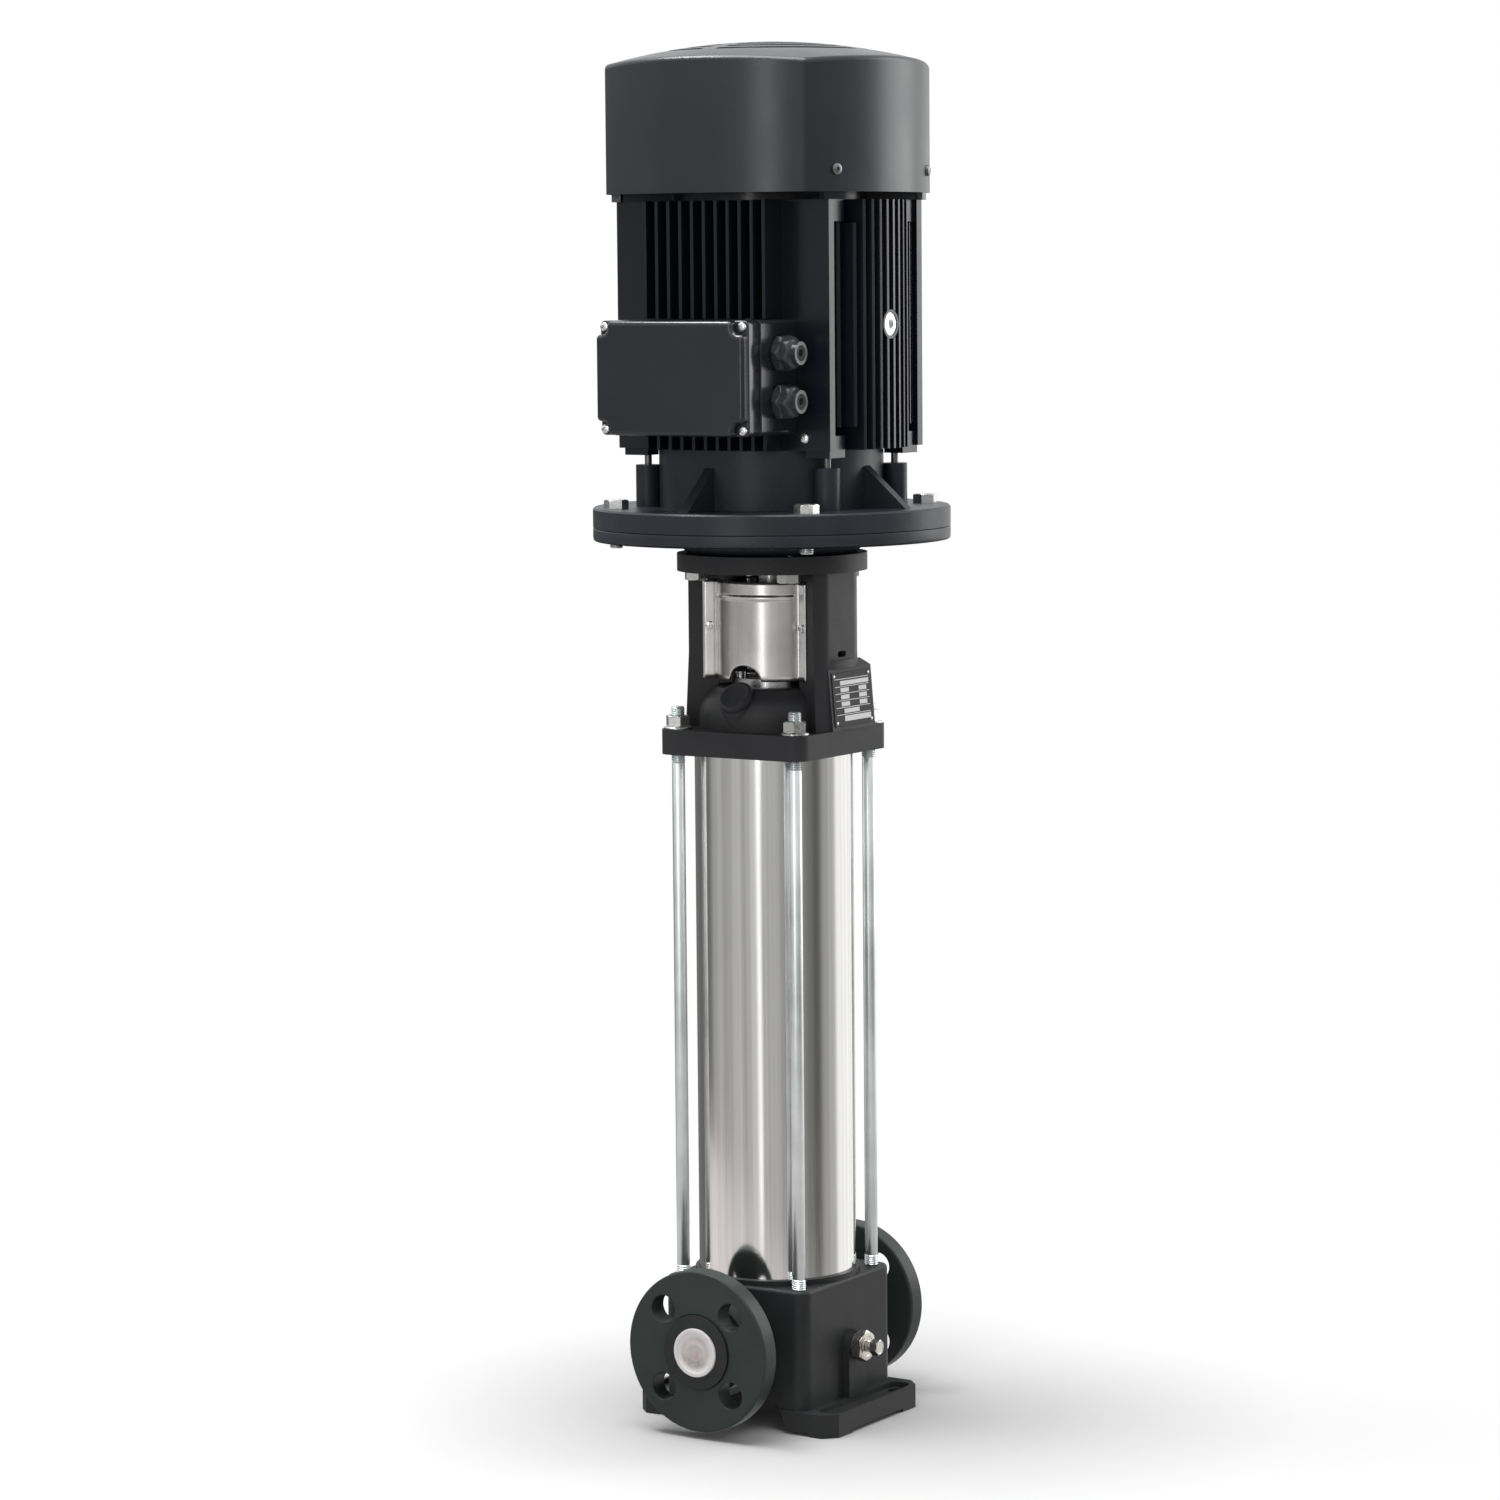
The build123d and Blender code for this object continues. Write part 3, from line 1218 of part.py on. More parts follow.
with BuildPart() as stator_frame:
    with BuildSketch(Plane.XY.offset(frame_bottom)):
        with GridLocations(0, side_fin_pitch, 1, side_fins):
            Rectangle(2 * side_envelope, fin_thickness)
        Circle(side_envelope, mode=Mode.INTERSECT)
    extrude(amount=frame_height)
    with BuildSketch(Plane.XY.offset(frame_bottom + short_fin_margin)):
        with GridLocations(0, side_fin_pitch, 1, short_fins):
            Rectangle(2 * side_envelope, fin_thickness)
        with GridLocations(0, 2 * outer_fin_y, 1, 2):
            Rectangle(2 * side_envelope, fin_thickness)
        Circle(side_envelope, mode=Mode.INTERSECT)
    extrude(amount=frame_height - 2 * short_fin_margin)
    with BuildSketch(Plane.XY.offset(frame_bottom)):
        with GridLocations(front_fin_pitch, 0, front_fins, 1):
            Rectangle(fin_thickness, 2 * front_envelope)
    extrude(amount=frame_height)
    with BuildSketch(Plane.XY.offset(frame_bottom)):
        with GridLocations(0, 2 * plate_face - corner_plate, 1, 2):
            Rectangle(2 * corner_plate_reach, corner_plate)
    extrude(amount=frame_height)
    with BuildSketch(Plane.XZ.offset(plate_face)):
        with Locations((0, box_middle)):
            Rectangle(box_width + 2 * air_gap, box_height + 2 * air_gap)
    extrude(amount=front_envelope, mode=Mode.SUBTRACT)
    lug_width = lug_outer_x - lug_inner_x
    lug_depth = plate_face - corner_plate / 2 - lug_inner_y
    with BuildSketch(Plane.XY.offset(frame_bottom - lug_drop), Plane.XY.offset(frame_top - lug_height)):
        with GridLocations(lug_inner_x + lug_outer_x, 2 * lug_inner_y + lug_depth, 2, 2):
            Rectangle(lug_width, lug_depth)
    extrude(amount=lug_height)
    with BuildSketch(Plane.XY.offset(frame_bottom)):
        Circle(shield_neck_radius + air_gap)
    extrude(amount=-lug_drop, mode=Mode.SUBTRACT)
    with BuildSketch(Plane.XY.offset(frame_bottom)):
        Circle(core_radius)
    extrude(amount=frame_height)
    with BuildSketch(side_plug_plane):
        Circle(side_plug_boss_radius)
    extrude(amount=(core_radius + frame_bore) / 2 - side_plug_face)
    with BuildSketch(Plane.XY.offset(frame_bottom)):
        Circle(frame_bore)
    extrude(amount=frame_height, mode=Mode.SUBTRACT)
    with BuildSketch(side_plug_plane):
        Circle(side_plug_radius + seat_gap)
    extrude(amount=-side_plug_length, mode=Mode.SUBTRACT)
    with BuildSketch(side_plug_plane):
        Circle(side_plug_boss_radius)
    extrude(amount=side_envelope - side_plug_face, mode=Mode.SUBTRACT)
    with BuildSketch(Plane.XY.offset(frame_bottom - lug_drop)):
        with Locations(*through_bolt_places):
            Circle(through_bolt_radius + seat_gap)
    extrude(amount=lug_drop + frame_height, mode=Mode.SUBTRACT)
    with BuildSketch(Plane.XZ.offset(plate_face)):
        with Locations(earth_screw_place):
            Circle(earth_screw_radius + seat_gap)
    extrude(amount=-earth_screw_length, mode=Mode.SUBTRACT)
stator_frame.part.label = "stator_frame"
export_step(stator_frame.part, "parts/stator_frame.step")

with BuildPart() as side_plug:
    with BuildSketch(side_plug_plane):
        Circle(side_plug_radius)
        RegularPolygon(hex_radius(side_plug_socket), 6, mode=Mode.SUBTRACT)
    extrude(amount=-side_plug_length)
side_plug.part.label = "side_plug"
export_step(side_plug.part, "parts/side_plug.step")

# Stator core with its two end windings, rotor core on the motor shaft
with BuildPart() as stator_core:
    with BuildSketch(Plane.XY.offset(core_bottom)):
        Circle(frame_bore - seat_gap)
        Circle(stator_bore, mode=Mode.SUBTRACT)
    extrude(amount=stator_length)
stator_core.part.label = "stator_core"
export_step(stator_core.part, "parts/stator_core.step")

with BuildPart() as windings:
    with BuildSketch(Plane.XZ) as ring_section:
        for middle in (core_bottom - winding_length / 2, core_top + winding_length / 2):
            with Locations(((winding_inner + winding_outer) / 2, middle)):
                Rectangle(winding_outer - winding_inner, winding_length)
        chamfer(ring_section.vertices(), winding_edge)
    revolve(axis=Axis.Z)
windings.part.label = "windings"
export_step(windings.part, "parts/windings.step")

with BuildPart() as rotor_core:
    with BuildSketch(Plane.XY.offset(stator_centre - rotor_length / 2)):
        Circle(stator_bore - air_gap)
        Circle(motor_shaft_core_radius + seat_gap / 2, mode=Mode.SUBTRACT)
    extrude(amount=rotor_length)
rotor_core.part.label = "rotor_core"
export_step(rotor_core.part, "parts/rotor_core.step")

shaft_core_bottom = lower_bearing_seat + lower_bearing_width
with BuildPart() as motor_shaft:
    with BuildSketch(Plane.XZ):
        Polygon(
            (0, coupling_middle + shaft_end_gap / 2),
            (motor_shaft_radius, coupling_middle + shaft_end_gap / 2),
            (motor_shaft_radius, lower_bearing_seat),
            (lower_bearing_bore - seat_gap / 2, lower_bearing_seat),
            (lower_bearing_bore - seat_gap / 2, shaft_core_bottom),
            (motor_shaft_core_radius, shaft_core_bottom),
            (motor_shaft_core_radius, upper_bearing_seat),
            (upper_bearing_bore - seat_gap / 2, upper_bearing_seat),
            (upper_bearing_bore - seat_gap / 2, fan_bottom),
            (fan_bore - seat_gap / 2, fan_bottom),
            (fan_bore - seat_gap / 2, motor_shaft_top),
            (0, motor_shaft_top),
            align=None,
        )
    revolve(axis=Axis.Z)
motor_shaft.part.label = "motor_shaft"
export_step(motor_shaft.part, "parts/motor_shaft.step")

# The outline that the fan cover and the arms under it share
side_arc_radius = (cover_corner_reach**2 + (cover_side - cover_corner_reach) ** 2) / (
    2 * (cover_side - cover_corner_reach)
)
side_arc_centre = cover_side - side_arc_radius
screw_angle = degrees(asin(cover_screw_y / side_arc_radius))
cover_screw_x = side_arc_centre + side_arc_radius * cos(radians(screw_angle))
cover_screw_height = frame_top + cover_screw_rise
cover_screw_planes = []
for across in (1, -1):
    for along in (1, -1):
        slant = Vector(across * cos(radians(screw_angle)), along * sin(radians(screw_angle)), 0)
        place = Vector(across * cover_screw_x, along * cover_screw_y, cover_screw_height)
        cover_screw_planes.append(
            Plane(origin=place, x_dir=Vector(0, 0, 1).cross(slant), z_dir=slant)
        )
arm_angle = degrees(atan2(cover_screw_y, cover_screw_x))
arm_reach = hypot(cover_screw_x, cover_screw_y) - cover_wall - tab_thickness
tab_middle = frame_top + tab_height / 2 - cover_screw_height


def cover_form(inset, start):
    """A closed block with the form of the fan cover, drawn in by this inset, from this height up."""
    reach = side_arc_radius - inset
    side = cover_side - inset
    corner = (sqrt(2 * reach**2 - side_arc_centre**2) + side_arc_centre) / 2
    with BuildPart() as form:
        with BuildSketch(Plane.XY.offset(start)) as outline:
            with BuildLine():
                for turn in range(4):
                    ThreePointArc(
                        Vector(-corner, -corner).rotate(Axis.Z, 90 * turn),
                        Vector(0, -side).rotate(Axis.Z, 90 * turn),
                        Vector(corner, -corner).rotate(Axis.Z, 90 * turn),
                    )
            make_face()
            fillet(outline.vertices(), cover_corner)
        extrude(amount=cover_apex - start)
        with Locations((0, 0, cover_apex - cover_dome_radius)):
            Sphere(cover_dome_radius - inset, mode=Mode.INTERSECT)
        fillet(form.faces().sort_by(Axis.Z)[-1].edges(), cover_rim_radius)
    return form.part


# Upper end shield: bearing housing in a crowned disc, with four arms that carry the fan cover
with BuildPart() as upper_end_shield:
    with BuildSketch(Plane.XY.offset(frame_top)):
        for angle in (arm_angle, -arm_angle):
            Rectangle(2 * arm_reach, arm_width, rotation=angle)
    extrude(amount=arm_thickness)
    for screw_plane in cover_screw_planes:
        with BuildSketch(screw_plane.offset(-cover_wall - seat_gap)):
            with Locations((0, tab_middle)):
                Rectangle(tab_width, tab_height)
        extrude(amount=-tab_thickness)
    with BuildSketch(Plane.XZ):
        Polygon(
            (0, frame_top - end_shield_spigot),
            (frame_bore - seat_gap, frame_top - end_shield_spigot),
            (frame_bore - seat_gap, frame_top),
            (end_shield_radius, frame_top),
            (end_shield_radius, frame_top + end_shield_rim),
            (end_shield_crown_radius, frame_top + end_shield_crown + bearing_lip),
            (0, frame_top + end_shield_crown + bearing_lip),
            align=None,
        )
    revolve(axis=Axis.Z)
    with BuildSketch(Plane.XY.offset(frame_top - end_shield_spigot)):
        Circle(upper_bearing_outer + seat_gap)
    extrude(
        amount=end_shield_spigot + bearing_lip + upper_bearing_width,
        mode=Mode.SUBTRACT,
    )
    with BuildSketch(Plane.XY.offset(frame_top)):
        Circle(upper_bearing_bore + air_gap)
    extrude(amount=end_shield_crown + bearing_lip, mode=Mode.SUBTRACT)
    with BuildSketch(Plane.XY.offset(frame_top)):
        with Locations(*through_bolt_places):
            Circle(through_bolt_radius + seat_gap)
    extrude(amount=arm_thickness, mode=Mode.SUBTRACT)
    for screw_plane in cover_screw_planes:
        with BuildSketch(screw_plane.offset(-cover_wall)):
            Circle(cover_screw_radius + seat_gap)
        extrude(amount=-cover_screw_length, mode=Mode.SUBTRACT)
    add(cover_form(cover_wall + seat_gap, frame_top - end_shield_spigot), mode=Mode.INTERSECT)
upper_end_shield.part.label = "upper_end_shield"
export_step(upper_end_shield.part, "parts/upper_end_shield.step")

with BuildPart() as through_bolts:
    with BuildSketch(Plane.XY.offset(frame_top + arm_thickness)):
        with Locations(*through_bolt_places):
            RegularPolygon(hex_radius(through_bolt_flats), 6)
    extrude(amount=through_bolt_head)
    with BuildSketch(Plane.XY.offset(frame_top + arm_thickness)):
        with Locations(*through_bolt_places):
            Circle(through_bolt_radius)
    extrude(amount=shield_floor_top + boss_height - through_bolt_grip - frame_top - arm_thickness)
through_bolts.part.label = "through_bolts"
export_step(through_bolts.part, "parts/through_bolts.step")

# Fan on the free end of the motor shaft
with BuildPart() as fan:
    with BuildSketch(Plane.XY.offset(fan_bottom)):
        Circle(fan_radius)
    extrude(amount=fan_disc)
    with BuildSketch(Plane.XY.offset(fan_bottom + fan_disc)):
        with PolarLocations((fan_radius + fan_hub_radius / 2) / 2, fan_blades):
            Rectangle(fan_radius - fan_hub_radius / 2, fan_blade_thickness)
    extrude(amount=fan_blade_height)
    with BuildSketch(Plane.XY.offset(fan_bottom)):
        Circle(fan_hub_radius)
    extrude(amount=fan_hub_length)
    with BuildSketch(Plane.XY.offset(fan_bottom)):
        Circle(fan_bore)
    extrude(amount=fan_hub_length, mode=Mode.SUBTRACT)
fan.part.label = "fan"
export_step(fan.part, "parts/fan.step")


# Fan cover: a thin hood with four bulged sides, a shallow dome and a grille of ring slots
cover_outside = cover_form(0, cover_bottom)
cover_inside = cover_form(cover_wall, cover_bottom - cover_wall)
with BuildPart() as fan_cover:
    add(cover_outside)
    add(cover_inside, mode=Mode.SUBTRACT)
    with BuildSketch(Plane.XY.offset(cover_apex)):
        for ring in reversed(range(grille_rings)):
            Circle(grille_inner + ring * grille_pitch + grille_slot)
            Circle(grille_inner + ring * grille_pitch, mode=Mode.SUBTRACT)
        Rectangle(2 * cover_side, grille_spoke, mode=Mode.SUBTRACT)
        Rectangle(grille_spoke, 2 * cover_side, mode=Mode.SUBTRACT)
    extrude(amount=-cover_corner_reach / 4, mode=Mode.SUBTRACT)
    for screw_plane in cover_screw_planes:
        with BuildSketch(screw_plane.offset(-cover_screw_length)):
            Circle(cover_screw_radius + seat_gap)
        extrude(amount=2 * cover_screw_length, mode=Mode.SUBTRACT)
fan_cover.part.label = "fan_cover"
export_step(fan_cover.part, "parts/fan_cover.step")

with BuildPart() as cover_screws:
    for screw_plane in cover_screw_planes:
        with BuildSketch(screw_plane):
            Circle(cover_screw_head_radius)
        extrude(amount=cover_screw_head)
        with BuildSketch(screw_plane):
            Circle(cover_screw_radius)
        extrude(amount=-cover_screw_length)
cover_screws.part.label = "cover_screws"
export_step(cover_screws.part, "parts/cover_screws.step")

# Terminal box: seated on the corner plates, with a saddle over the tube of the frame
gland_plane = Plane(
    origin=(box_width / 2, -gland_y, box_middle), x_dir=(0, 1, 0), z_dir=(1, 0, 0)
)
lid_screw_span_x = box_width - 2 * lid_screw_inset
lid_screw_span_z = box_height - 2 * lid_screw_inset
inner_width = box_width - 2 * box_wall
inner_height = box_height - 2 * box_wall

with BuildPart() as terminal_box:
    with BuildSketch(Plane.XZ.offset(plate_face)):
        with Locations((0, box_middle)):
            RectangleRounded(box_width, box_height, box_corner)
    extrude(amount=box_front - plate_face)
    with BuildSketch(Plane.XZ.offset(plate_face)):
        with Locations((0, box_middle)):
            Rectangle(saddle_width, box_height)
    extrude(amount=core_radius + air_gap - plate_face, mode=Mode.SUBTRACT)
    with BuildSketch(Plane.XZ.offset(plate_face + box_floor)):
        with Locations((0, box_middle)):
            Rectangle(inner_width, inner_height)
            with GridLocations(lid_screw_span_x, lid_screw_span_z, 2, 2):
                Circle(box_post_radius, mode=Mode.SUBTRACT)
    extrude(amount=box_front - plate_face - box_floor, mode=Mode.SUBTRACT)
    with BuildSketch(Plane.XZ.offset(box_front)):
        with Locations((0, box_middle)):
            with GridLocations(lid_screw_span_x, lid_screw_span_z, 2, 2):
                Circle(lid_screw_radius + seat_gap)
    extrude(amount=-lid_screw_grip, mode=Mode.SUBTRACT)
    with BuildSketch(gland_plane):
        with GridLocations(0, gland_pitch, 1, 2):
            Circle(gland_shank_radius + seat_gap)
    extrude(amount=-box_wall, mode=Mode.SUBTRACT)
terminal_box.part.label = "terminal_box"
export_step(terminal_box.part, "parts/terminal_box.step")

with BuildPart() as lid_gasket_ring:
    with BuildSketch(Plane.XZ.offset(box_front)):
        with Locations((0, box_middle)):
            RectangleRounded(box_width, box_height, box_corner)
            Rectangle(inner_width, inner_height, mode=Mode.SUBTRACT)
            with GridLocations(lid_screw_span_x, lid_screw_span_z, 2, 2):
                Circle(lid_screw_radius + seat_gap, mode=Mode.SUBTRACT)
    extrude(amount=lid_gasket)
lid_gasket_ring.part.label = "lid_gasket"
export_step(lid_gasket_ring.part, "parts/lid_gasket.step")

# Lid: a deep cup whose four corners are stepped back for the screws
lid_shoulder = lid_back + lid_flange
with BuildPart() as terminal_lid:
    with BuildSketch(Plane.XZ.offset(lid_back)):
        with Locations((0, box_middle)):
            RectangleRounded(box_width, box_height, box_corner)
    extrude(amount=lid_front - lid_back)
    with BuildSketch(Plane.XZ.offset(lid_shoulder)):
        with Locations((0, box_middle)):
            with GridLocations(box_width, box_height, 2, 2):
                Rectangle(2 * lid_notch, 2 * lid_notch)
    extrude(amount=lid_front - lid_shoulder, mode=Mode.SUBTRACT)
    chamfer(terminal_lid.faces().sort_by(Axis.Y)[0].edges(), lid_edge)
    with BuildSketch(Plane.XZ.offset(lid_back)):
        with Locations((0, box_middle)):
            Rectangle(box_width - 2 * lid_wall, box_height - 2 * lid_wall)
            with GridLocations(box_width, box_height, 2, 2):
                Rectangle(2 * lid_column, 2 * lid_column, mode=Mode.SUBTRACT)
    extrude(amount=lid_front - lid_back - lid_skin, mode=Mode.SUBTRACT)
    with BuildSketch(Plane.XZ.offset(lid_back)):
        with Locations((0, box_middle)):
            with GridLocations(lid_screw_span_x, lid_screw_span_z, 2, 2):
                Circle(lid_screw_radius + seat_gap)
    extrude(amount=lid_flange, mode=Mode.SUBTRACT)
terminal_lid.part.label = "terminal_lid"
export_step(terminal_lid.part, "parts/terminal_lid.step")

# The four lid screws, and the earth screw beside the box
with BuildPart() as box_screws:
    with BuildSketch(Plane.XZ.offset(lid_shoulder)):
        with Locations((0, box_middle)):
            with GridLocations(lid_screw_span_x, lid_screw_span_z, 2, 2):
                Circle(lid_screw_head_radius)
    extrude(amount=lid_screw_head)
    with BuildSketch(Plane.XZ.offset(lid_shoulder)):
        with Locations((0, box_middle)):
            with GridLocations(lid_screw_span_x, lid_screw_span_z, 2, 2):
                Circle(lid_screw_radius)
    extrude(amount=-lid_flange - lid_gasket - lid_screw_grip)
    with BuildSketch(Plane.XZ.offset(plate_face)):
        with Locations(earth_screw_place):
            Circle(earth_screw_head_radius)
    extrude(amount=earth_screw_head)
    with BuildSketch(Plane.XZ.offset(plate_face)):
        with Locations(earth_screw_place):
            Circle(earth_screw_radius)
    extrude(amount=-earth_screw_length)
box_screws.part.label = "box_screws"
export_step(box_screws.part, "parts/box_screws.step")

with BuildPart() as terminal_board:
    with BuildSketch(Plane.XZ.offset(plate_face + box_floor)):
        with Locations((0, box_middle)):
            RectangleRounded(board_width, board_height, box_corner)
    extrude(amount=board_thickness)
    with BuildSketch(Plane.XZ.offset(plate_face + box_floor + board_thickness)):
        with Locations((0, box_middle)):
            with GridLocations(post_pitch_x, post_pitch_z, 3, 2):
                Circle(post_radius)
    extrude(amount=post_length)
terminal_board.part.label = "terminal_board"
export_step(terminal_board.part, "parts/terminal_board.step")

# Cable glands: fixed bodies with locknuts inside the box, blanked seals, and cap nuts that turn
with BuildPart() as gland_bodies:
    with BuildSketch(gland_plane):
        with GridLocations(0, gland_pitch, 1, 2):
            RegularPolygon(hex_radius(gland_hex), 6)
    extrude(amount=gland_hex_thickness)
    with BuildSketch(gland_plane):
        with GridLocations(0, gland_pitch, 1, 2):
            Circle(gland_barrel_radius)
    extrude(amount=gland_hex_thickness + gland_barrel_length)
    with BuildSketch(gland_plane):
        with GridLocations(0, gland_pitch, 1, 2):
            Circle(gland_shank_radius)
    extrude(amount=-box_wall)
    with BuildSketch(gland_plane.offset(-box_wall)):
        with GridLocations(0, gland_pitch, 1, 2):
            RegularPolygon(gland_locknut_radius, 6)
    extrude(amount=-gland_locknut)
    with BuildSketch(gland_plane.offset(-box_wall - gland_locknut)):
        with GridLocations(0, gland_pitch, 1, 2):
            Circle(gland_bore_radius)
    extrude(
        amount=box_wall + gland_locknut + gland_hex_thickness + gland_barrel_length,
        mode=Mode.SUBTRACT,
    )
gland_bodies.part.label = "gland_bodies"
export_step(gland_bodies.part, "parts/gland_bodies.step")

gland_end = gland_hex_thickness + gland_barrel_length
with BuildPart() as gland_seals:
    with BuildSketch(gland_plane.offset(gland_end)):
        with GridLocations(0, gland_pitch, 1, 2):
            Circle(gland_bore_radius - seat_gap)
    extrude(amount=-gland_seal_thickness)
gland_seals.part.label = "gland_seals"
export_step(gland_seals.part, "parts/gland_seals.step")

gland_levels = {"upper": gland_pitch / 2, "lower": -gland_pitch / 2}
for level, rise in gland_levels.items():
    with BuildPart() as gland_nut:
        with BuildSketch(gland_plane.offset(gland_hex_thickness + seal_face_gap)):
            with Locations((0, rise)):
                RegularPolygon(hex_radius(gland_nut_hex), 6)
        extrude(amount=gland_nut_length - gland_nut_dome)
        with BuildSketch(gland_plane.offset(gland_hex_thickness + seal_face_gap)):
            with Locations((0, rise)):
                Circle(gland_nut_hex / 2 - seal_face_gap)
        extrude(amount=gland_nut_length)
        fillet(gland_nut.faces().sort_by(Axis.X)[-1].edges(), gland_nut_dome / 2)
        with BuildSketch(gland_plane):
            with Locations((0, rise)):
                Circle(gland_barrel_radius + running_gap)
        extrude(amount=gland_end + seal_face_gap, mode=Mode.SUBTRACT)
        with BuildSketch(gland_plane):
            with Locations((0, rise)):
                Circle(gland_mouth_radius)
        extrude(amount=gland_hex_thickness + seal_face_gap + gland_nut_length, mode=Mode.SUBTRACT)
    gland_nut.part.label = f"gland_nut_{level}"
    export_step(gland_nut.part, f"parts/gland_nut_{level}.step")
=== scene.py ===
# %% [markdown]
# # A vertical multistage pump, dressed for the studio
#
# The pump was modelled as solids in a CAD program. This lesson loads those solids as a fixed frame
# and gives every visible one the edges, threads and finish that the real machine has. Nothing is
# moved: a piece that is made again here stands exactly where its solid stands.

# %% Load the solids
import json
from math import asin, cos, pi, radians, sin, sqrt

import bmesh
import bpy
from mathutils import Matrix, Vector

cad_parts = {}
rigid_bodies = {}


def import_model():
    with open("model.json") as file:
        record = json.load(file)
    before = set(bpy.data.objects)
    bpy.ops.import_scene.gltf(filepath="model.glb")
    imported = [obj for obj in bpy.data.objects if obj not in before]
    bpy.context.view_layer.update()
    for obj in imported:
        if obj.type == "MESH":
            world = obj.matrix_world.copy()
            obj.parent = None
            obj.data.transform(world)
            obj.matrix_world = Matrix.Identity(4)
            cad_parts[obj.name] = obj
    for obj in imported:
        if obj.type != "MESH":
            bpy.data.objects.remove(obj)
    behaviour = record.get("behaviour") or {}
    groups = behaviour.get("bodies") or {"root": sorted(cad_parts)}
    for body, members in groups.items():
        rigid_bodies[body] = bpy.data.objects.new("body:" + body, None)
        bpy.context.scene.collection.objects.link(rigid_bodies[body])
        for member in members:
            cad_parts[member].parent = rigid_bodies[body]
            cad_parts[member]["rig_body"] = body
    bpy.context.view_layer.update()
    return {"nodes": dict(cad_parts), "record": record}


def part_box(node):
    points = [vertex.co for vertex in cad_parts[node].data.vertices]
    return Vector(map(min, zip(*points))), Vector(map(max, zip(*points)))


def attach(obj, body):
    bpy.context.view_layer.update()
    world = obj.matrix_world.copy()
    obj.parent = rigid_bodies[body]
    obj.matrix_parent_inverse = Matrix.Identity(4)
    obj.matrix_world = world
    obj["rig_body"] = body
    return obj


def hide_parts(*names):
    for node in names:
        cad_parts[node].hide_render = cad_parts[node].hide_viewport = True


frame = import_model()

nodes = frame["nodes"]
collection = bpy.context.scene.collection
mm = 0.001
print("solids loaded:", len(nodes))

# %% [markdown]
# ## The camera
#
# The picture that we match was taken from the front right, a little above the middle of the pump,
# through a long lens. A long lens far away keeps the upright edges nearly parallel, as they are
# there. The angles were found by fitting the flanges, rods and feet to the picture.

# %% Place the camera
def linked(name, data):
    """A new object in the scene, with this camera, light or mesh."""
    made = bpy.data.objects.new(name, data)
    collection.objects.link(made)
    return made


yaw, pitch, roll = radians(33.0), radians(6.0), radians(0.5)
camera_distance, camera_height, camera_aside = 3.9403, 0.9804, -0.0200

right = Vector((cos(yaw), sin(yaw), 0))
forward = Vector((-sin(yaw), cos(yaw), 0))
look = forward * cos(pitch) - Vector((0, 0, sin(pitch)))
above = right.cross(look)
camera_right = right * cos(roll) - above * sin(roll)
camera_up = right * sin(roll) + above * cos(roll)

camera = linked("camera", bpy.data.cameras.new("camera"))
camera.matrix_world = Matrix((camera_right, camera_up, -look)).transposed().to_4x4()
camera.location = right * camera_aside - forward * camera_distance + Vector((0, 0, camera_height))
camera.data.lens = 112.74
camera.data.clip_end = 50
bpy.context.scene.camera = camera
print("camera at", tuple(round(v, 3) for v in camera.location))

# %% [markdown]
# ## A short way to write materials
#
# A finish is a sum of patterns: fine grain plus larger blotches, times a strength. The class below
# wraps one output of the node tree, so that such sums are written as ordinary expressions, and
# one method makes every other kind of node.

# %% Shader helpers
class Signal:
    """One output in a material's tree. Sums and products of signals add Math nodes."""

    def __init__(self, tree, socket):
        self.tree = tree
        self.socket = socket

    def maths(self, operation, first, second):
        node = self.tree.nodes.new("ShaderNodeMath")
        node.operation = operation
        for value, slot in ((first, node.inputs[0]), (second, node.inputs[1])):
            if isinstance(value, Signal):
                self.tree.links.new(value.socket, slot)
            else:
                slot.default_value = value
        return Signal(self.tree, node.outputs[0])

    def __add__(self, other):
        return self.maths("ADD", self, other)

    def __mul__(self, other):
        return self.maths("MULTIPLY", self, other)

    def __gt__(self, other):
        return self.maths("GREATER_THAN", self, other)

    def __lt__(self, other):
        return self.maths("LESS_THAN", self, other)


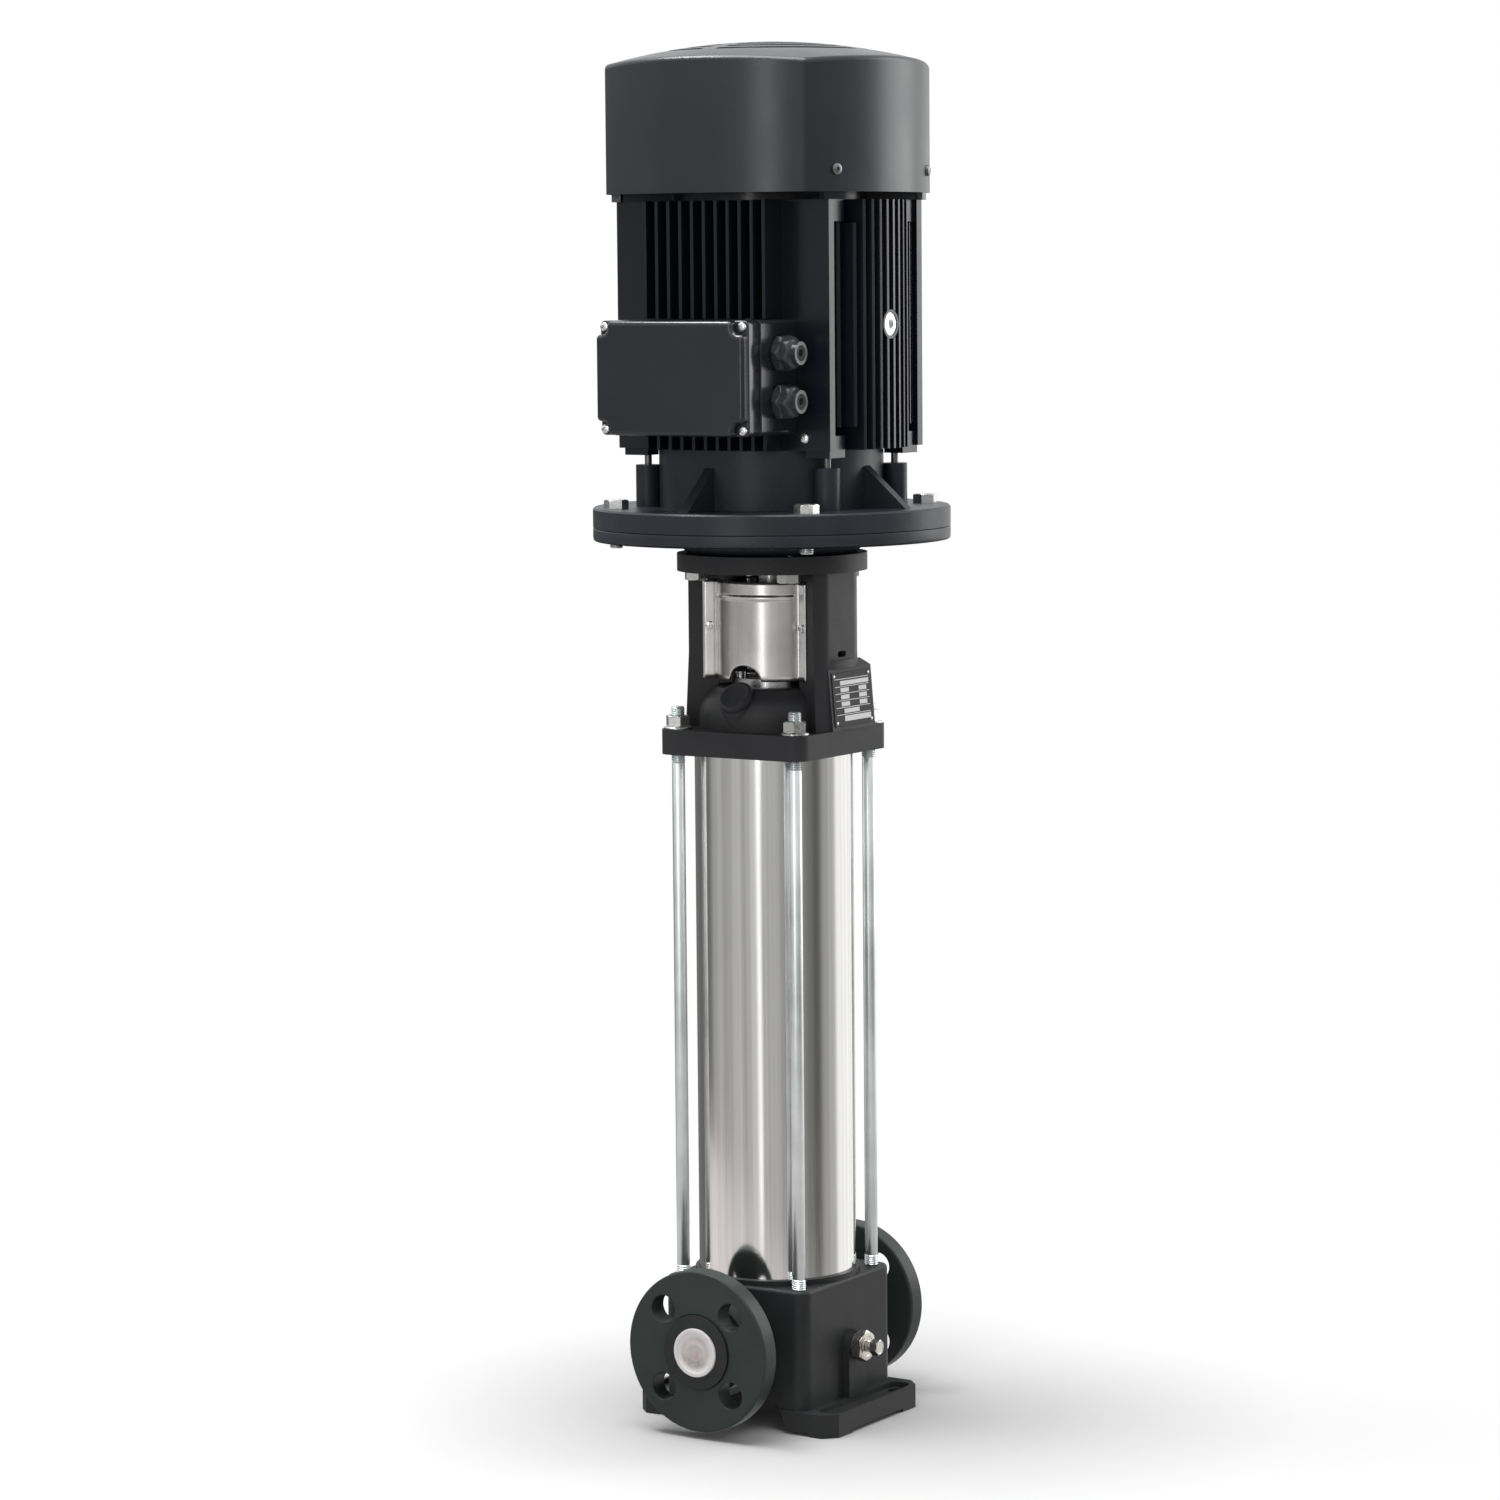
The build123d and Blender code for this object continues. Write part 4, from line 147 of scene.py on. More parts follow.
class Finish:
    """A new material, with one method for every kind of node."""

    def __init__(self, name):
        self.material = bpy.data.materials.new(name)
        self.material.use_nodes = True
        self.tree = self.material.node_tree
        self.surface = self.tree.nodes["Principled BSDF"]
        self.place = self.node("TexCoord", out="Object")

    def put(self, value, socket):
        if isinstance(value, Signal):
            self.tree.links.new(value.socket, socket)
        else:
            socket.default_value = value

    def node(self, kind, out=0, inputs=None, stops=None, **settings):
        """A node of any kind, as the signal of one of its outputs."""
        made = self.tree.nodes.new("ShaderNode" + kind)
        for key, value in settings.items():
            setattr(made, key, value)
        if stops:
            ramp = made.color_ramp
            while len(ramp.elements) < len(stops):
                ramp.elements.new(0.5)
            for element, (position, colour) in zip(ramp.elements, stops):
                element.position = position
                element.color = colour
        for key, value in (inputs or {}).items():
            self.put(value, made.inputs[key])
        return Signal(self.tree, made.outputs[out])

    def noise(self, scale, detail=2.0, stretch=(1, 1, 1), roughness=0.5):
        place = self.place
        if stretch != (1, 1, 1):
            place = self.node("Mapping", inputs={"Vector": self.place, "Scale": stretch})
        sockets = {"Vector": place, "Scale": scale, "Detail": detail, "Roughness": roughness}
        return self.node("TexNoise", inputs=sockets)

    def range(self, signal, low, high, new_low, new_high):
        spans = {"From Min": low, "From Max": high, "To Min": new_low, "To Max": new_high}
        return self.node("MapRange", inputs={"Value": signal, **spans})

    def mix(self, factor, first, second):
        made = self.tree.nodes.new("ShaderNodeMix")
        made.data_type = "RGBA"
        self.put(factor, made.inputs["Factor"])
        self.put(first, made.inputs[6])
        self.put(second, made.inputs[7])
        return Signal(self.tree, made.outputs[2])

    def bump(self, height, distance):
        sockets = {"Height": height, "Distance": distance, "Strength": 1.0}
        self.put(self.node("Bump", inputs=sockets), self.surface.inputs["Normal"])

    def set(self, **sockets):
        for key, value in sockets.items():
            self.put(value, self.surface.inputs[key.replace("_", " ")])


def shade(red, green, blue):
    """A colour as a shader socket wants it."""
    return (red, green, blue, 1.0)


print("shader helpers ready")

# %% [markdown]
# ## Light and floor
#
# The room gives an even white light, a wide panel overhead adds the soft shadow round the base, and
# a small one beside it draws the bright line along each top edge. Black enamel and polished steel
# show only what they reflect, though, and in a white room both would look pale. So a ring of card
# stands round the pump, grey in most directions and white in a few. It is seen in reflections
# alone, where it draws the long bands on the sleeve. The backdrop is seen by the camera alone, and
# the floor turns into the same white a short way off, so the picture has no horizon. Close to the
# pump the floor is also painted darker, a painted shadow that deepens the real one round the base.

# %% Make the studio
def soft_panel(name, place, target, width, height, power):
    """A rectangular area light at one place that faces another."""
    light = bpy.data.lights.new(name, "AREA")
    light.shape = "RECTANGLE"
    light.size, light.size_y = width, height
    light.energy = power
    panel = linked(name, light)
    panel.location = place
    panel.rotation_euler = (Vector(target) - Vector(place)).to_track_quat("-Z", "Y").to_euler()
    panel.visible_camera = False


middle = (0, 0, 0.65)
soft_panel("panel_strip", (0.5, -2.9, 1.5), middle, 0.25, 2.4, 13)
soft_panel("panel_side", (1.6, 2.6, 1.6), middle, 1.6, 2.4, 34)
soft_panel("panel_top", (-0.1, -0.3, 3.3), middle, 2.6, 2.0, 120)
soft_panel("panel_edge", (-1.1, -0.4, 2.9), middle, 1.2, 0.5, 30)

room = bpy.data.worlds.new("room")
bpy.context.scene.world = room
room.use_nodes = True
room.node_tree.nodes["Background"].inputs["Color"].default_value = shade(1, 1, 1)
room.node_tree.nodes["Background"].inputs["Strength"].default_value = 0.55
bpy.context.scene.view_settings.view_transform = "Standard"

# Each pair is a direction in degrees and the brightness of the card there.
card_bands = (
    (-180, 0.16), (-166, 0.18), (-158, 0.36), (-146, 0.50), (-133, 0.38), (-117, 0.56),
    (-104, 0.44), (-92, 0.60), (-84, 0.74), (-81, 1.5), (-78.5, 1.5), (-76, 0.5), (-58, 0.52),
    (-44, 0.34), (-20, 0.30), (-6, 0.20), (2, 0.13), (8, 0.15), (18, 0.36), (32, 0.50),
    (40, 0.62), (46, 1.12), (104, 1.12), (112, 0.5), (124, 0.18), (180, 0.16),
)
card = Finish("studio_card")
around = card.node("TexGradient", out="Fac", gradient_type="RADIAL", inputs={"Vector": card.place})
height = card.node("SeparateXYZ", out=2, inputs={0: card.place})
streaks = card.noise(2.4, detail=2.0, stretch=(1, 1, 0.03))
stops = [((angle + 180) / 360, shade(level, level, level * 0.985)) for angle, level in card_bands]
bands = card.node("ValToRGB", inputs={"Fac": around}, stops=stops)
low_and_left = card.range(height + around, -0.93, -0.97, 0.0, 1.0)
upper_edge = card.range(height, 1.4, 1.65, 0.0, 1.0)
side_light = card.mix(low_and_left, bands, shade(0.82, 0.775, 0.78))
uneven = card.mix(
    card.range(streaks, 0.3, 0.7, 0.0, 1.0), shade(0.82, 0.82, 0.82), shade(1.18, 1.18, 1.18)
)
streaked = card.node("VectorMath", inputs={0: side_light, 1: uneven}, operation="MULTIPLY")
card.set(
    Base_Color=shade(0, 0, 0), Specular_IOR_Level=0.0, Emission_Strength=1.0,
    Emission_Color=card.mix(upper_edge, streaked, shade(1.05, 1.05, 1.05)),
)


def ring_wall(name, radius, low, high):
    """An upright wall of card round the pump, in metres."""
    steps = 96
    corners, faces = [], []
    for step in range(steps):
        angle = 2 * pi * step / steps
        corners += [(radius * cos(angle), radius * sin(angle), z) for z in (low, high)]
        ahead = 2 * ((step + 1) % steps)
        faces.append((ahead, 2 * step, 2 * step + 1, ahead + 1))
    mesh = bpy.data.meshes.new(name)
    mesh.from_pydata(corners, [], faces)
    return linked(name, mesh)


cards = ring_wall("studio_cards", 6.5, -3.5, 11)
cards.data.materials.append(card.material)
cards.visible_camera = cards.visible_diffuse = cards.visible_shadow = False

glow = Finish("backdrop_white")
glow.set(
    Base_Color=shade(0, 0, 0), Specular_IOR_Level=0.0, Emission_Color=shade(1, 1, 1),
    Emission_Strength=1.0,
)
shell = bmesh.new()
bmesh.ops.create_uvsphere(shell, u_segments=48, v_segments=24, radius=28)
backdrop_mesh = bpy.data.meshes.new("backdrop")
shell.to_mesh(backdrop_mesh)
shell.free()
backdrop_mesh.materials.append(glow.material)
backdrop = linked("backdrop", backdrop_mesh)
backdrop.visible_diffuse = backdrop.visible_glossy = backdrop.visible_shadow = False

floor_paint = Finish("floor_white")
mottle = floor_paint.noise(3, detail=2.0)
from_pump = floor_paint.node("VectorMath", out=1, inputs={0: floor_paint.place}, operation="LENGTH")
# Within about half a metre of the pump the floor is painted darker: a painted shadow round the
# base, on top of the real one.
floor_away_from_pump = floor_paint.mix(mottle, shade(0.6, 0.6, 0.6), shade(0.64, 0.64, 0.64))
painted_shadow_near_pump = floor_paint.range(from_pump + mottle * 0.02, 0.12, 0.46, 0.0, 1.0)
floor_paint.set(
    Base_Color=floor_paint.mix(painted_shadow_near_pump, shade(0.44, 0.44, 0.44), floor_away_from_pump),
    Roughness=1.0, Specular_IOR_Level=0.0,
)
plain = floor_paint.node("Emission", inputs={"Color": shade(1, 1, 1), "Strength": 1.0})
lit = Signal(floor_paint.tree, floor_paint.surface.outputs[0])
fading = floor_paint.node("MixShader", inputs={
    0: floor_paint.range(from_pump, 0.24, 0.95, 0.0, 1.0), 1: lit, 2: plain,
})
floor_paint.put(fading, floor_paint.tree.nodes["Material Output"].inputs["Surface"])
floor_mesh = bpy.data.meshes.new("floor")
floor_mesh.from_pydata([(-30, -30, 0), (30, -30, 0), (30, 30, 0), (-30, 30, 0)], [], [(0, 1, 2, 3)])
floor_mesh.materials.append(floor_paint.material)
floor = linked("floor", floor_mesh)
floor.visible_glossy = False
print("four panels, a white room, a ring of card, a backdrop and a floor")

# %% [markdown]
# ## Painted castings
#
# The base, the head and the motor's flanges are grey iron from sand moulds, under a thin black
# enamel that does not fill the sand's grain. So the paint has three scales of pattern: a fine
# grain that breaks up each highlight, a slow waviness of the mould, and a slight change of tone.

# %% Cast paint
def cast_paint(name, dark, light, rough, grain_height):
    """Enamel on a sand casting, between two tones."""
    paint = Finish(name)
    fine = paint.noise(1100, detail=3.0)
    slow = paint.noise(60, detail=2.0)
    patches = paint.noise(14, detail=4.0)
    tone = paint.range(patches * 0.6 + fine * 0.4, 0.3, 0.7, 0.0, 1.0)
    paint.set(
        Base_Color=paint.mix(tone, dark, light),
        Roughness=paint.range(fine * 0.5 + patches * 0.5, 0.3, 0.7, rough - 0.07, rough + 0.1),
        Specular_IOR_Level=0.22,
    )
    paint.bump(fine + slow * 2.0, grain_height)
    return paint.material


rough_skin, fair_skin, fine_skin = 0.00016, 0.00010, 0.00008
base_paint = cast_paint(
    "cast_black", shade(0.012, 0.013, 0.014), shade(0.024, 0.025, 0.026), 0.46, rough_skin
)
head_paint = cast_paint(
    "head_black", shade(0.014, 0.0145, 0.016), shade(0.024, 0.0245, 0.027), 0.46, rough_skin
)
flange_paint = cast_paint(
    "flange_black", shade(0.013, 0.015, 0.019), shade(0.025, 0.028, 0.036), 0.34, fair_skin
)
ring_paint = cast_paint(
    "ring_green", shade(0.018, 0.023, 0.022), shade(0.03, 0.037, 0.035), 0.4, fine_skin
)
print("four cast finishes")

# %% [markdown]
# ## Smooth paint, plastic and rubber
#
# The motor's frame is extruded or pressure cast and its enamel is glossier, and the fan cover is
# powder coated steel sheet: nearly smooth, with the faint orange peel of such a coat.

# %% Smooth coats
def coat(name, colour, rough, peel_scale, peel_height, specular=0.4):
    """A smooth finish with a little orange peel."""
    paint = Finish(name)
    peel = paint.noise(peel_scale, detail=1.0)
    smear = paint.noise(9, detail=5.0, roughness=0.6)
    darker = tuple(c * 0.75 for c in colour[:3]) + (1.0,)
    paint.set(
        Base_Color=paint.mix(smear, darker, colour),
        Roughness=paint.range(smear, 0.3, 0.7, rough - 0.05, rough + 0.06),
        Specular_IOR_Level=specular,
    )
    paint.bump(peel, peel_height)
    return paint.material


frame_paint = coat("frame_black", shade(0.007, 0.0085, 0.0125), 0.24, 500, 0.00005, specular=0.32)
cover_paint = coat("cover_black", shade(0.009, 0.0115, 0.0165), 0.31, 700, 0.00004, specular=0.45)
box_paint = coat("box_black", shade(0.011, 0.012, 0.0155), 0.2, 600, 0.00002, specular=0.5)
gland_plastic = coat("gland_grey", shade(0.024, 0.027, 0.03), 0.3, 900, 0.00003)
rubber = coat("black_rubber", shade(0.012, 0.012, 0.012), 0.7, 1200, 0.00004)
print("five smooth finishes")

# %% [markdown]
# ## Metals
#
# Polished stainless sheet reflects the room, with a faint lengthwise grain left by the belt. Zinc
# plate is whiter and duller, a little blue on the rods, and it is never quite even.

# %% Bright metals
def bright_metal(name, colour, rough, streak, depth, cloud=0.06):
    """A bare metal whose grain is stretched by streak, with dull patches as strong as cloud."""
    metal = Finish(name)
    grain = metal.noise(260, detail=3.0, stretch=streak)
    cloudy = metal.noise(24, detail=3.0)
    duller = tuple(c * 0.82 for c in colour[:3]) + (1.0,)
    metal.set(
        Base_Color=metal.mix(metal.range(cloudy, 0.35, 0.65, 0.0, 1.0), duller, colour),
        Metallic=1.0,
        Roughness=metal.range(
            grain * 0.7 + cloudy * 0.3, 0.35, 0.65, rough - cloud * 0.5, rough + cloud
        ),
    )
    metal.bump(grain, depth)
    return metal.material


along = (9.0, 9.0, 0.12)
evenly = (2.0, 2.0, 2.0)
guard_steel = bright_metal(
    "guard_steel", shade(0.66, 0.65, 0.64), 0.28, (2.5, 2.5, 0.05), 0.0000006, cloud=0.04
)
rod_zinc = bright_metal("rod_zinc", shade(0.78, 0.82, 0.82), 0.33, along, 0.000006, cloud=0.1)
zinc = bright_metal("zinc", shade(0.72, 0.73, 0.72), 0.26, evenly, 0.00002, cloud=0.12)
nickel = bright_metal("nickel", shade(0.66, 0.64, 0.6), 0.2, evenly, 0.00002, cloud=0.1)
steel = bright_metal("machined_steel", shade(0.56, 0.56, 0.56), 0.25, evenly, 0.00002)
dark_steel = bright_metal("dark_steel", shade(0.2, 0.2, 0.205), 0.36, evenly, 0.00002)
copper = bright_metal("copper", shade(0.72, 0.33, 0.18), 0.3, evenly, 0.00002)

sheet = Finish("sleeve_steel")
belt_lines = sheet.noise(260, detail=3.0, stretch=along)
fine_haze = sheet.noise(9, detail=3.0, stretch=(3, 3, 1))
waves = sheet.noise(1, detail=1.0, stretch=(15, 15, 1.7))
sheet.set(
    Base_Color=sheet.mix(fine_haze, shade(0.74, 0.735, 0.725), shade(0.8, 0.795, 0.785)),
    Metallic=1.0,
    Roughness=sheet.range(belt_lines * 0.6 + fine_haze * 0.4, 0.35, 0.65, 0.07, 0.15),
)
sheet.bump(waves + belt_lines * 0.012, 0.0005)
sleeve_steel = sheet.material
print("eight metals")

# %% [markdown]
# ## Rounding the edges of a solid
#
# No real edge is perfectly sharp, and it is the thin bright line along each edge that makes a
# casting look like a casting. A solid from the CAD program has sharp edges and loose triangles. So
# each large solid that is seen is copied, its triangles are joined, its flat faces are cleaned, and
# a Bevel modifier rounds what is left. The copy then stands for the solid, in the same place. A
# clamped bevel is no wider than the shortest edge allows, so only the adapter, which can do without
# the clamp, gets an edge wide enough to show the seam under the motor's flange.

# %% Rounded copies
slot_of = {part["node"]: part["material_slot"] for part in frame["record"]["subparts"]}


def baked(piece, name):
    """The piece with its modifiers made real, as one plain mesh object."""
    bpy.context.view_layer.update()
    evaluated = piece.evaluated_get(bpy.context.evaluated_depsgraph_get())
    mesh = bpy.data.meshes.new_from_object(evaluated)
    bpy.data.objects.remove(piece)
    return linked(name, mesh)


def stand_for(piece, *names):
    """The piece joins the body of these solids, which are hidden."""
    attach(piece, nodes[names[0]]["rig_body"])
    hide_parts(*names)
    return piece


bevel_segments, bevel_from = 2, 32


def rounded(node, width, paint, clamp=True):
    """A copy of a solid with rounded edges, which stands for it."""
    mesh = nodes[node].data.copy()
    work = bmesh.new()
    work.from_mesh(mesh)
    bmesh.ops.remove_doubles(work, verts=work.verts, dist=2e-6)
    bmesh.ops.dissolve_limit(
        work, angle_limit=radians(0.6), verts=work.verts[:], edges=work.edges[:]
    )
    for face in work.faces:
        face.smooth = True
    work.to_mesh(mesh)
    work.free()
    mesh.materials.clear()
    mesh.materials.append(paint)
    piece = linked(node, mesh)
    bevel = piece.modifiers.new("edges", "BEVEL")
    bevel.width = width * mm
    bevel.segments = bevel_segments
    bevel.limit_method = "ANGLE"
    bevel.angle_limit = radians(bevel_from)
    bevel.miter_outer = "MITER_ARC"
    bevel.use_clamp_overlap = clamp
    level = piece.modifiers.new("even", "WEIGHTED_NORMAL")
    level.keep_sharp = False
    return stand_for(baked(piece, node + "_rounded"), node)


castings = (
    ("base_casting", 1.6, base_paint),
    ("pump_head", 1.3, head_paint),
    ("port_flange_front", 1.0, ring_paint),
    ("port_flange_back", 1.0, ring_paint),
    ("adapter_flange", 1.8, flange_paint),
    ("motor_end_shield", 1.4, flange_paint),
    ("stator_frame", 0.5, frame_paint),
    ("upper_end_shield", 1.0, frame_paint),
    ("terminal_box", 1.4, box_paint),
    ("fan_cover", 0.5, cover_paint),
)
for node, width, paint in castings:
    made = rounded(node, width, paint, clamp=node != "adapter_flange")
    print(node, "rounded by", width, "mm:", len(made.data.polygons), "faces")

# %% [markdown]
# ## Turned pieces
#
# The sleeve, the rods, the caps and the plugs are round, and each is a profile turned about an
# axis. The sleeve is the brightest piece, and a reflection shows every flat, so it gets far more
# steps round than its solid has.

# %% Turn a profile
def round_row(work, steps, spot):
    """A row of points round Z, where spot(angle) gives a radius and a height in millimetres."""
    row = []
    for step in range(steps):
        angle = 2 * pi * step / steps
        reach, level = spot(angle)
        row.append(work.verts.new((reach * mm * cos(angle), reach * mm * sin(angle), level * mm)))
    return row


def skinned(work, rows, closed=False):
    """Faces between neighbouring rows of points, where a row of one point is an apex."""
    for lower, upper in zip(rows, rows[1:] + rows[:1] if closed else rows[1:]):
        for step in range(max(len(lower), len(upper))):
            corners = [lower[step % len(lower)], lower[(step + 1) % len(lower)],
                       upper[(step + 1) % len(upper)], upper[step % len(upper)]]
            corners = list(dict.fromkeys(corners))
            if len(corners) > 2:
                work.faces.new(corners)
    bmesh.ops.recalc_face_normals(work, faces=work.faces[:])
    return work


def turned(profile, steps=96):
    """A closed mesh from (radius, height) points in millimetres, turned about Z."""
    work = bmesh.new()
    rows = []
    for point in profile:
        rows.append(round_row(work, steps if point[0] else 1, lambda angle: point))
    return skinned(work, rows, closed=True)


def finished(work, name, paint, sharp=30):
    """An object from a work mesh, smooth except at its sharp edges."""
    mesh = bpy.data.meshes.new(name)
    work.to_mesh(mesh)
    work.free()
    mesh.shade_smooth()
    mesh.set_sharp_from_angle(angle=radians(sharp))
    mesh.materials.append(paint)
    return linked(name, mesh)


sleeve_low, sleeve_high = (corner.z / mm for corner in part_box("outer_sleeve"))
sleeve_radius, sleeve_wall = 66.8, 1.5
sleeve_profile = (
    (sleeve_radius, sleeve_low),
    (sleeve_radius, sleeve_high),
    (sleeve_radius - sleeve_wall, sleeve_high),
    (sleeve_radius - sleeve_wall, sleeve_low),
)
sleeve = finished(turned(sleeve_profile, steps=256), "sleeve", sleeve_steel)
stand_for(sleeve, "outer_sleeve")
print("sleeve", round(sleeve_high - sleeve_low), "mm long")

# %% [markdown]
# ## Repeating a piece
#
# Nuts, washers, screws and rivets come in fours. One Geometry Nodes tree puts a copy of a piece on
# each point, aims it along the point's own direction, and turns it a little at random about that
# direction, because no fitter leaves all the corners in line. Each call names the new piece first
# and then the solid that it stands for.

# %% A tree that repeats a piece
class ShapeTree:
    """A Geometry Nodes tree with named inputs, which ends in real geometry with a paint."""

    def __init__(self, name, **inputs):
        self.tree = bpy.data.node_groups.new(name, "GeometryNodeTree")
        for way in ("INPUT", "OUTPUT"):
            self.tree.interface.new_socket("Shape", in_out=way, socket_type="NodeSocketGeometry")
        self.keys = {}
        for key, kind in inputs.items():
            socket = self.tree.interface.new_socket(
                key, in_out="INPUT", socket_type="NodeSocket" + kind
            )
            self.keys[key] = socket.identifier
        self.entry = self.tree.nodes.new("NodeGroupInput").outputs

    def node(self, kind, inputs=None, **settings):
        """The outputs of a new node whose inputs are values or the outputs of others."""
        made = self.tree.nodes.new(kind)
        for key, value in settings.items():
            setattr(made, key, value)
        for key, value in (inputs or {}).items():
            if isinstance(value, bpy.types.NodeSocket):
                self.tree.links.new(value, made.inputs[key])
            else:
                made.inputs[key].default_value = value
        return made.outputs

    def end(self, shape):
        real = self.node("GeometryNodeRealizeInstances", {"Geometry": shape})
        coated = self.node(
            "GeometryNodeSetMaterial", {"Geometry": real[0], "Material": self.entry["Paint"]}
        )
        self.tree.links.new(coated[0], self.tree.nodes.new("NodeGroupOutput").inputs[0])

    def run(self, holder, name, **values):
        """The mesh object that the tree makes of its holder, with these values on its inputs."""
        modifier = holder.modifiers.new(self.tree.name, "NODES")
        modifier.node_group = self.tree
        for key, value in values.items():
            modifier[self.keys[key]] = value
        return baked(holder, name)


repeat = ShapeTree(
    "repeat_piece", Piece="Object", Turn="Float", Spread="Float", Seed="Int", Paint="Material"
)
source = repeat.node("GeometryNodeObjectInfo", {"Object": repeat.entry["Piece"]})
aim = repeat.node("GeometryNodeInputNamedAttribute", {"Name": "aim"}, data_type="FLOAT_VECTOR")
aligned = repeat.node("FunctionNodeAlignRotationToVector", {"Vector": aim["Attribute"]}, axis="Z")
turn_and_spread = {0: repeat.entry["Turn"], 1: repeat.entry["Spread"]}
lowest = repeat.node("ShaderNodeMath", turn_and_spread, operation="SUBTRACT")
highest = repeat.node("ShaderNodeMath", turn_and_spread, operation="ADD")
chance = repeat.node("FunctionNodeRandomValue", {
    "Seed": repeat.entry["Seed"], 2: lowest[0], 3: highest[0],
}, data_type="FLOAT")
turn = repeat.node("ShaderNodeCombineXYZ", {"Z": chance[1]})
placed = repeat.node("GeometryNodeInstanceOnPoints", {
    "Points": repeat.entry["Shape"],
    "Instance": source["Geometry"],
    "Rotation": aligned["Rotation"],
})
spun = repeat.node("GeometryNodeRotateInstances", {
    "Instances": placed["Instances"], "Rotation": turn["Vector"], "Local Space": True,
})
repeat.end(spun["Instances"])


def point_cloud(name, places, aims):
    """A mesh of loose points in millimetres, each with its own direction."""
    mesh = bpy.data.meshes.new(name)
    mesh.from_pydata([tuple(c * mm for c in place) for place in places], [], [])
    attribute = mesh.attributes.new("aim", "FLOAT_VECTOR", "POINT")
    for index, aimed in enumerate(aims):
        attribute.data[index].vector = aimed
    return linked(name, mesh)


def repeated(name, node, work, paint, places, aims=None, turn=0.0, spread=0.0, seed=1, sharp=30):
    """One object with a copy of a work mesh on every place, which stands for a solid."""
    model = finished(work, name + "_model", paint, sharp)
    cloud = point_cloud(name + "_points", places, aims or [(0, 0, 1)] * len(places))
    made = repeat.run(cloud, name, Piece=model, Turn=turn, Spread=spread, Seed=seed, Paint=paint)
    bpy.data.objects.remove(model)
    stand_for(made, node)


print("the repeating tree has", len(repeat.tree.nodes), "nodes")

# %% [markdown]
# ## Nuts and bolt heads
#
# A real nut is a hexagon bar whose corners are cut by a cone, so each side ends in a shallow arc.
# The shape follows a rule: at every height the radius is the smaller of the hexagon's radius in
# that direction and the cone's. Rows of such points make the arcs by themselves.

# %% Hexagons cut by a cone
def hexagon(flats):
    """The radius of a hexagon in every direction."""
    return lambda angle: flats / 2 / cos((angle + pi / 6) % (pi / 3) - pi / 6)


head_steps = 72


def hexed(flats, rows):
    """A closed mesh of rows (height, largest radius), each a hexagon cut to that radius."""
    work = bmesh.new()
    side = hexagon(flats)
    rings = []
    for height, limit in rows:
        rings.append(round_row(
            work, head_steps if limit else 1, lambda angle: (min(side(angle), limit), height)
        ))
    return skinned(work, rings, closed=True)


def cone_top(flats, high, slope=0.5):
    """Rows that cut the corners of a hexagon towards its upper end."""
    inner, corner = flats / 2 * 0.97, flats / sqrt(3)
    radii = [inner + (corner - inner) * share for share in (1.0, 0.8, 0.6, 0.4, 0.2, 0.0)]
    return [(high - (radius - inner) * slope, radius) for radius in radii]


def cone_ends(flats, height, slope=0.5):
    """Rows that cut the corners at both ends of a hexagon that starts at height 0."""
    top = cone_top(flats, height, slope)
    return [(height - level, radius) for level, radius in top[::-1]] + top


def nut(flats, height, hole):
    """A nut with both faces chamfered and a countersunk hole."""
    inside = [(height, hole + 0.6), (height - 0.7, hole), (0.7, hole), (0, hole + 0.6)]
    return hexed(flats, cone_ends(flats, height) + inside)


def bolt_head(flats, height):
    """A solid head, chamfered on top, with a slightly sunk face."""
    rows = [(0, 0), (0, flats / sqrt(3))] + cone_top(flats, height)
    sunk = height - 0.25
    return hexed(flats, rows + [(height, flats * 0.42), (sunk, flats * 0.39), (sunk, 0)])


def washer(inner, outer, height):
    """A flat ring with broken edges."""
    edge = height * 0.25
    return turned((
        (inner, 0), (outer - edge, 0), (outer, edge),
        (outer, height - edge), (outer - edge, height), (inner, height),
    ), steps=64)


print("nuts, heads and washers defined")

# %% [markdown]
# ## A wound thread
#
# The ends of the rods and bolts show their threads. A thread is one ridge wound up a cylinder, so
# a Geometry Nodes tree draws a spiral and sweeps a diamond along it. The diamond is as wide as the
# pitch, so its turns meet in sharp valleys, as on a rolled thread.

# %% A tree that winds a thread
wind = ShapeTree(
    "wind_thread", Turns="Float", Radius="Float", Length="Float", Ridge="Float", Paint="Material"
)
spiral = wind.node("GeometryNodeCurveSpiral", {
    "Resolution": 24, "Rotations": wind.entry["Turns"], "Start Radius": wind.entry["Radius"],
    "End Radius": wind.entry["Radius"], "Height": wind.entry["Length"],
})
upright = wind.node("GeometryNodeSetCurveNormal", {"Curve": spiral["Curve"]}, mode="Z_UP")
diamond = wind.node("GeometryNodeCurvePrimitiveCircle", {
    "Resolution": 4, "Radius": wind.entry["Ridge"],
})
swept = wind.node("GeometryNodeCurveToMesh", {
    "Curve": upright["Curve"], "Profile Curve": diamond["Curve"], "Fill Caps": True,
})
wind.end(swept["Mesh"])

# An M12 thread, in millimetres.
thread_pitch, crest = 1.75, 6.0
root = crest - thread_pitch / 2


def thread(low, high, paint):
    """A work mesh of one thread between two heights in millimetres."""
    carrier = linked("thread", bpy.data.meshes.new("thread"))
    made = wind.run(
        carrier, "thread_made", Turns=(high - low) / thread_pitch, Radius=root * mm,
        Length=(high - low) * mm, Ridge=thread_pitch / 2 * mm, Paint=paint,
    )
    work = bmesh.new()
    work.from_mesh(made.data)
    bpy.data.objects.remove(made)
    bmesh.ops.translate(work, verts=work.verts[:], vec=(0, 0, low * mm))
    bmesh.ops.recalc_face_normals(work, faces=work.faces[:])
    return work


def joined(*works):
    """The first work mesh with the others added to it."""
    first = works[0]
    for other in works[1:]:
        carrier = bpy.data.meshes.new("carrier")
        other.to_mesh(carrier)
        other.free()
        first.from_mesh(carrier)
        bpy.data.meshes.remove(carrier)
    return first


print("the thread tree has", len(wind.tree.nodes), "nodes")

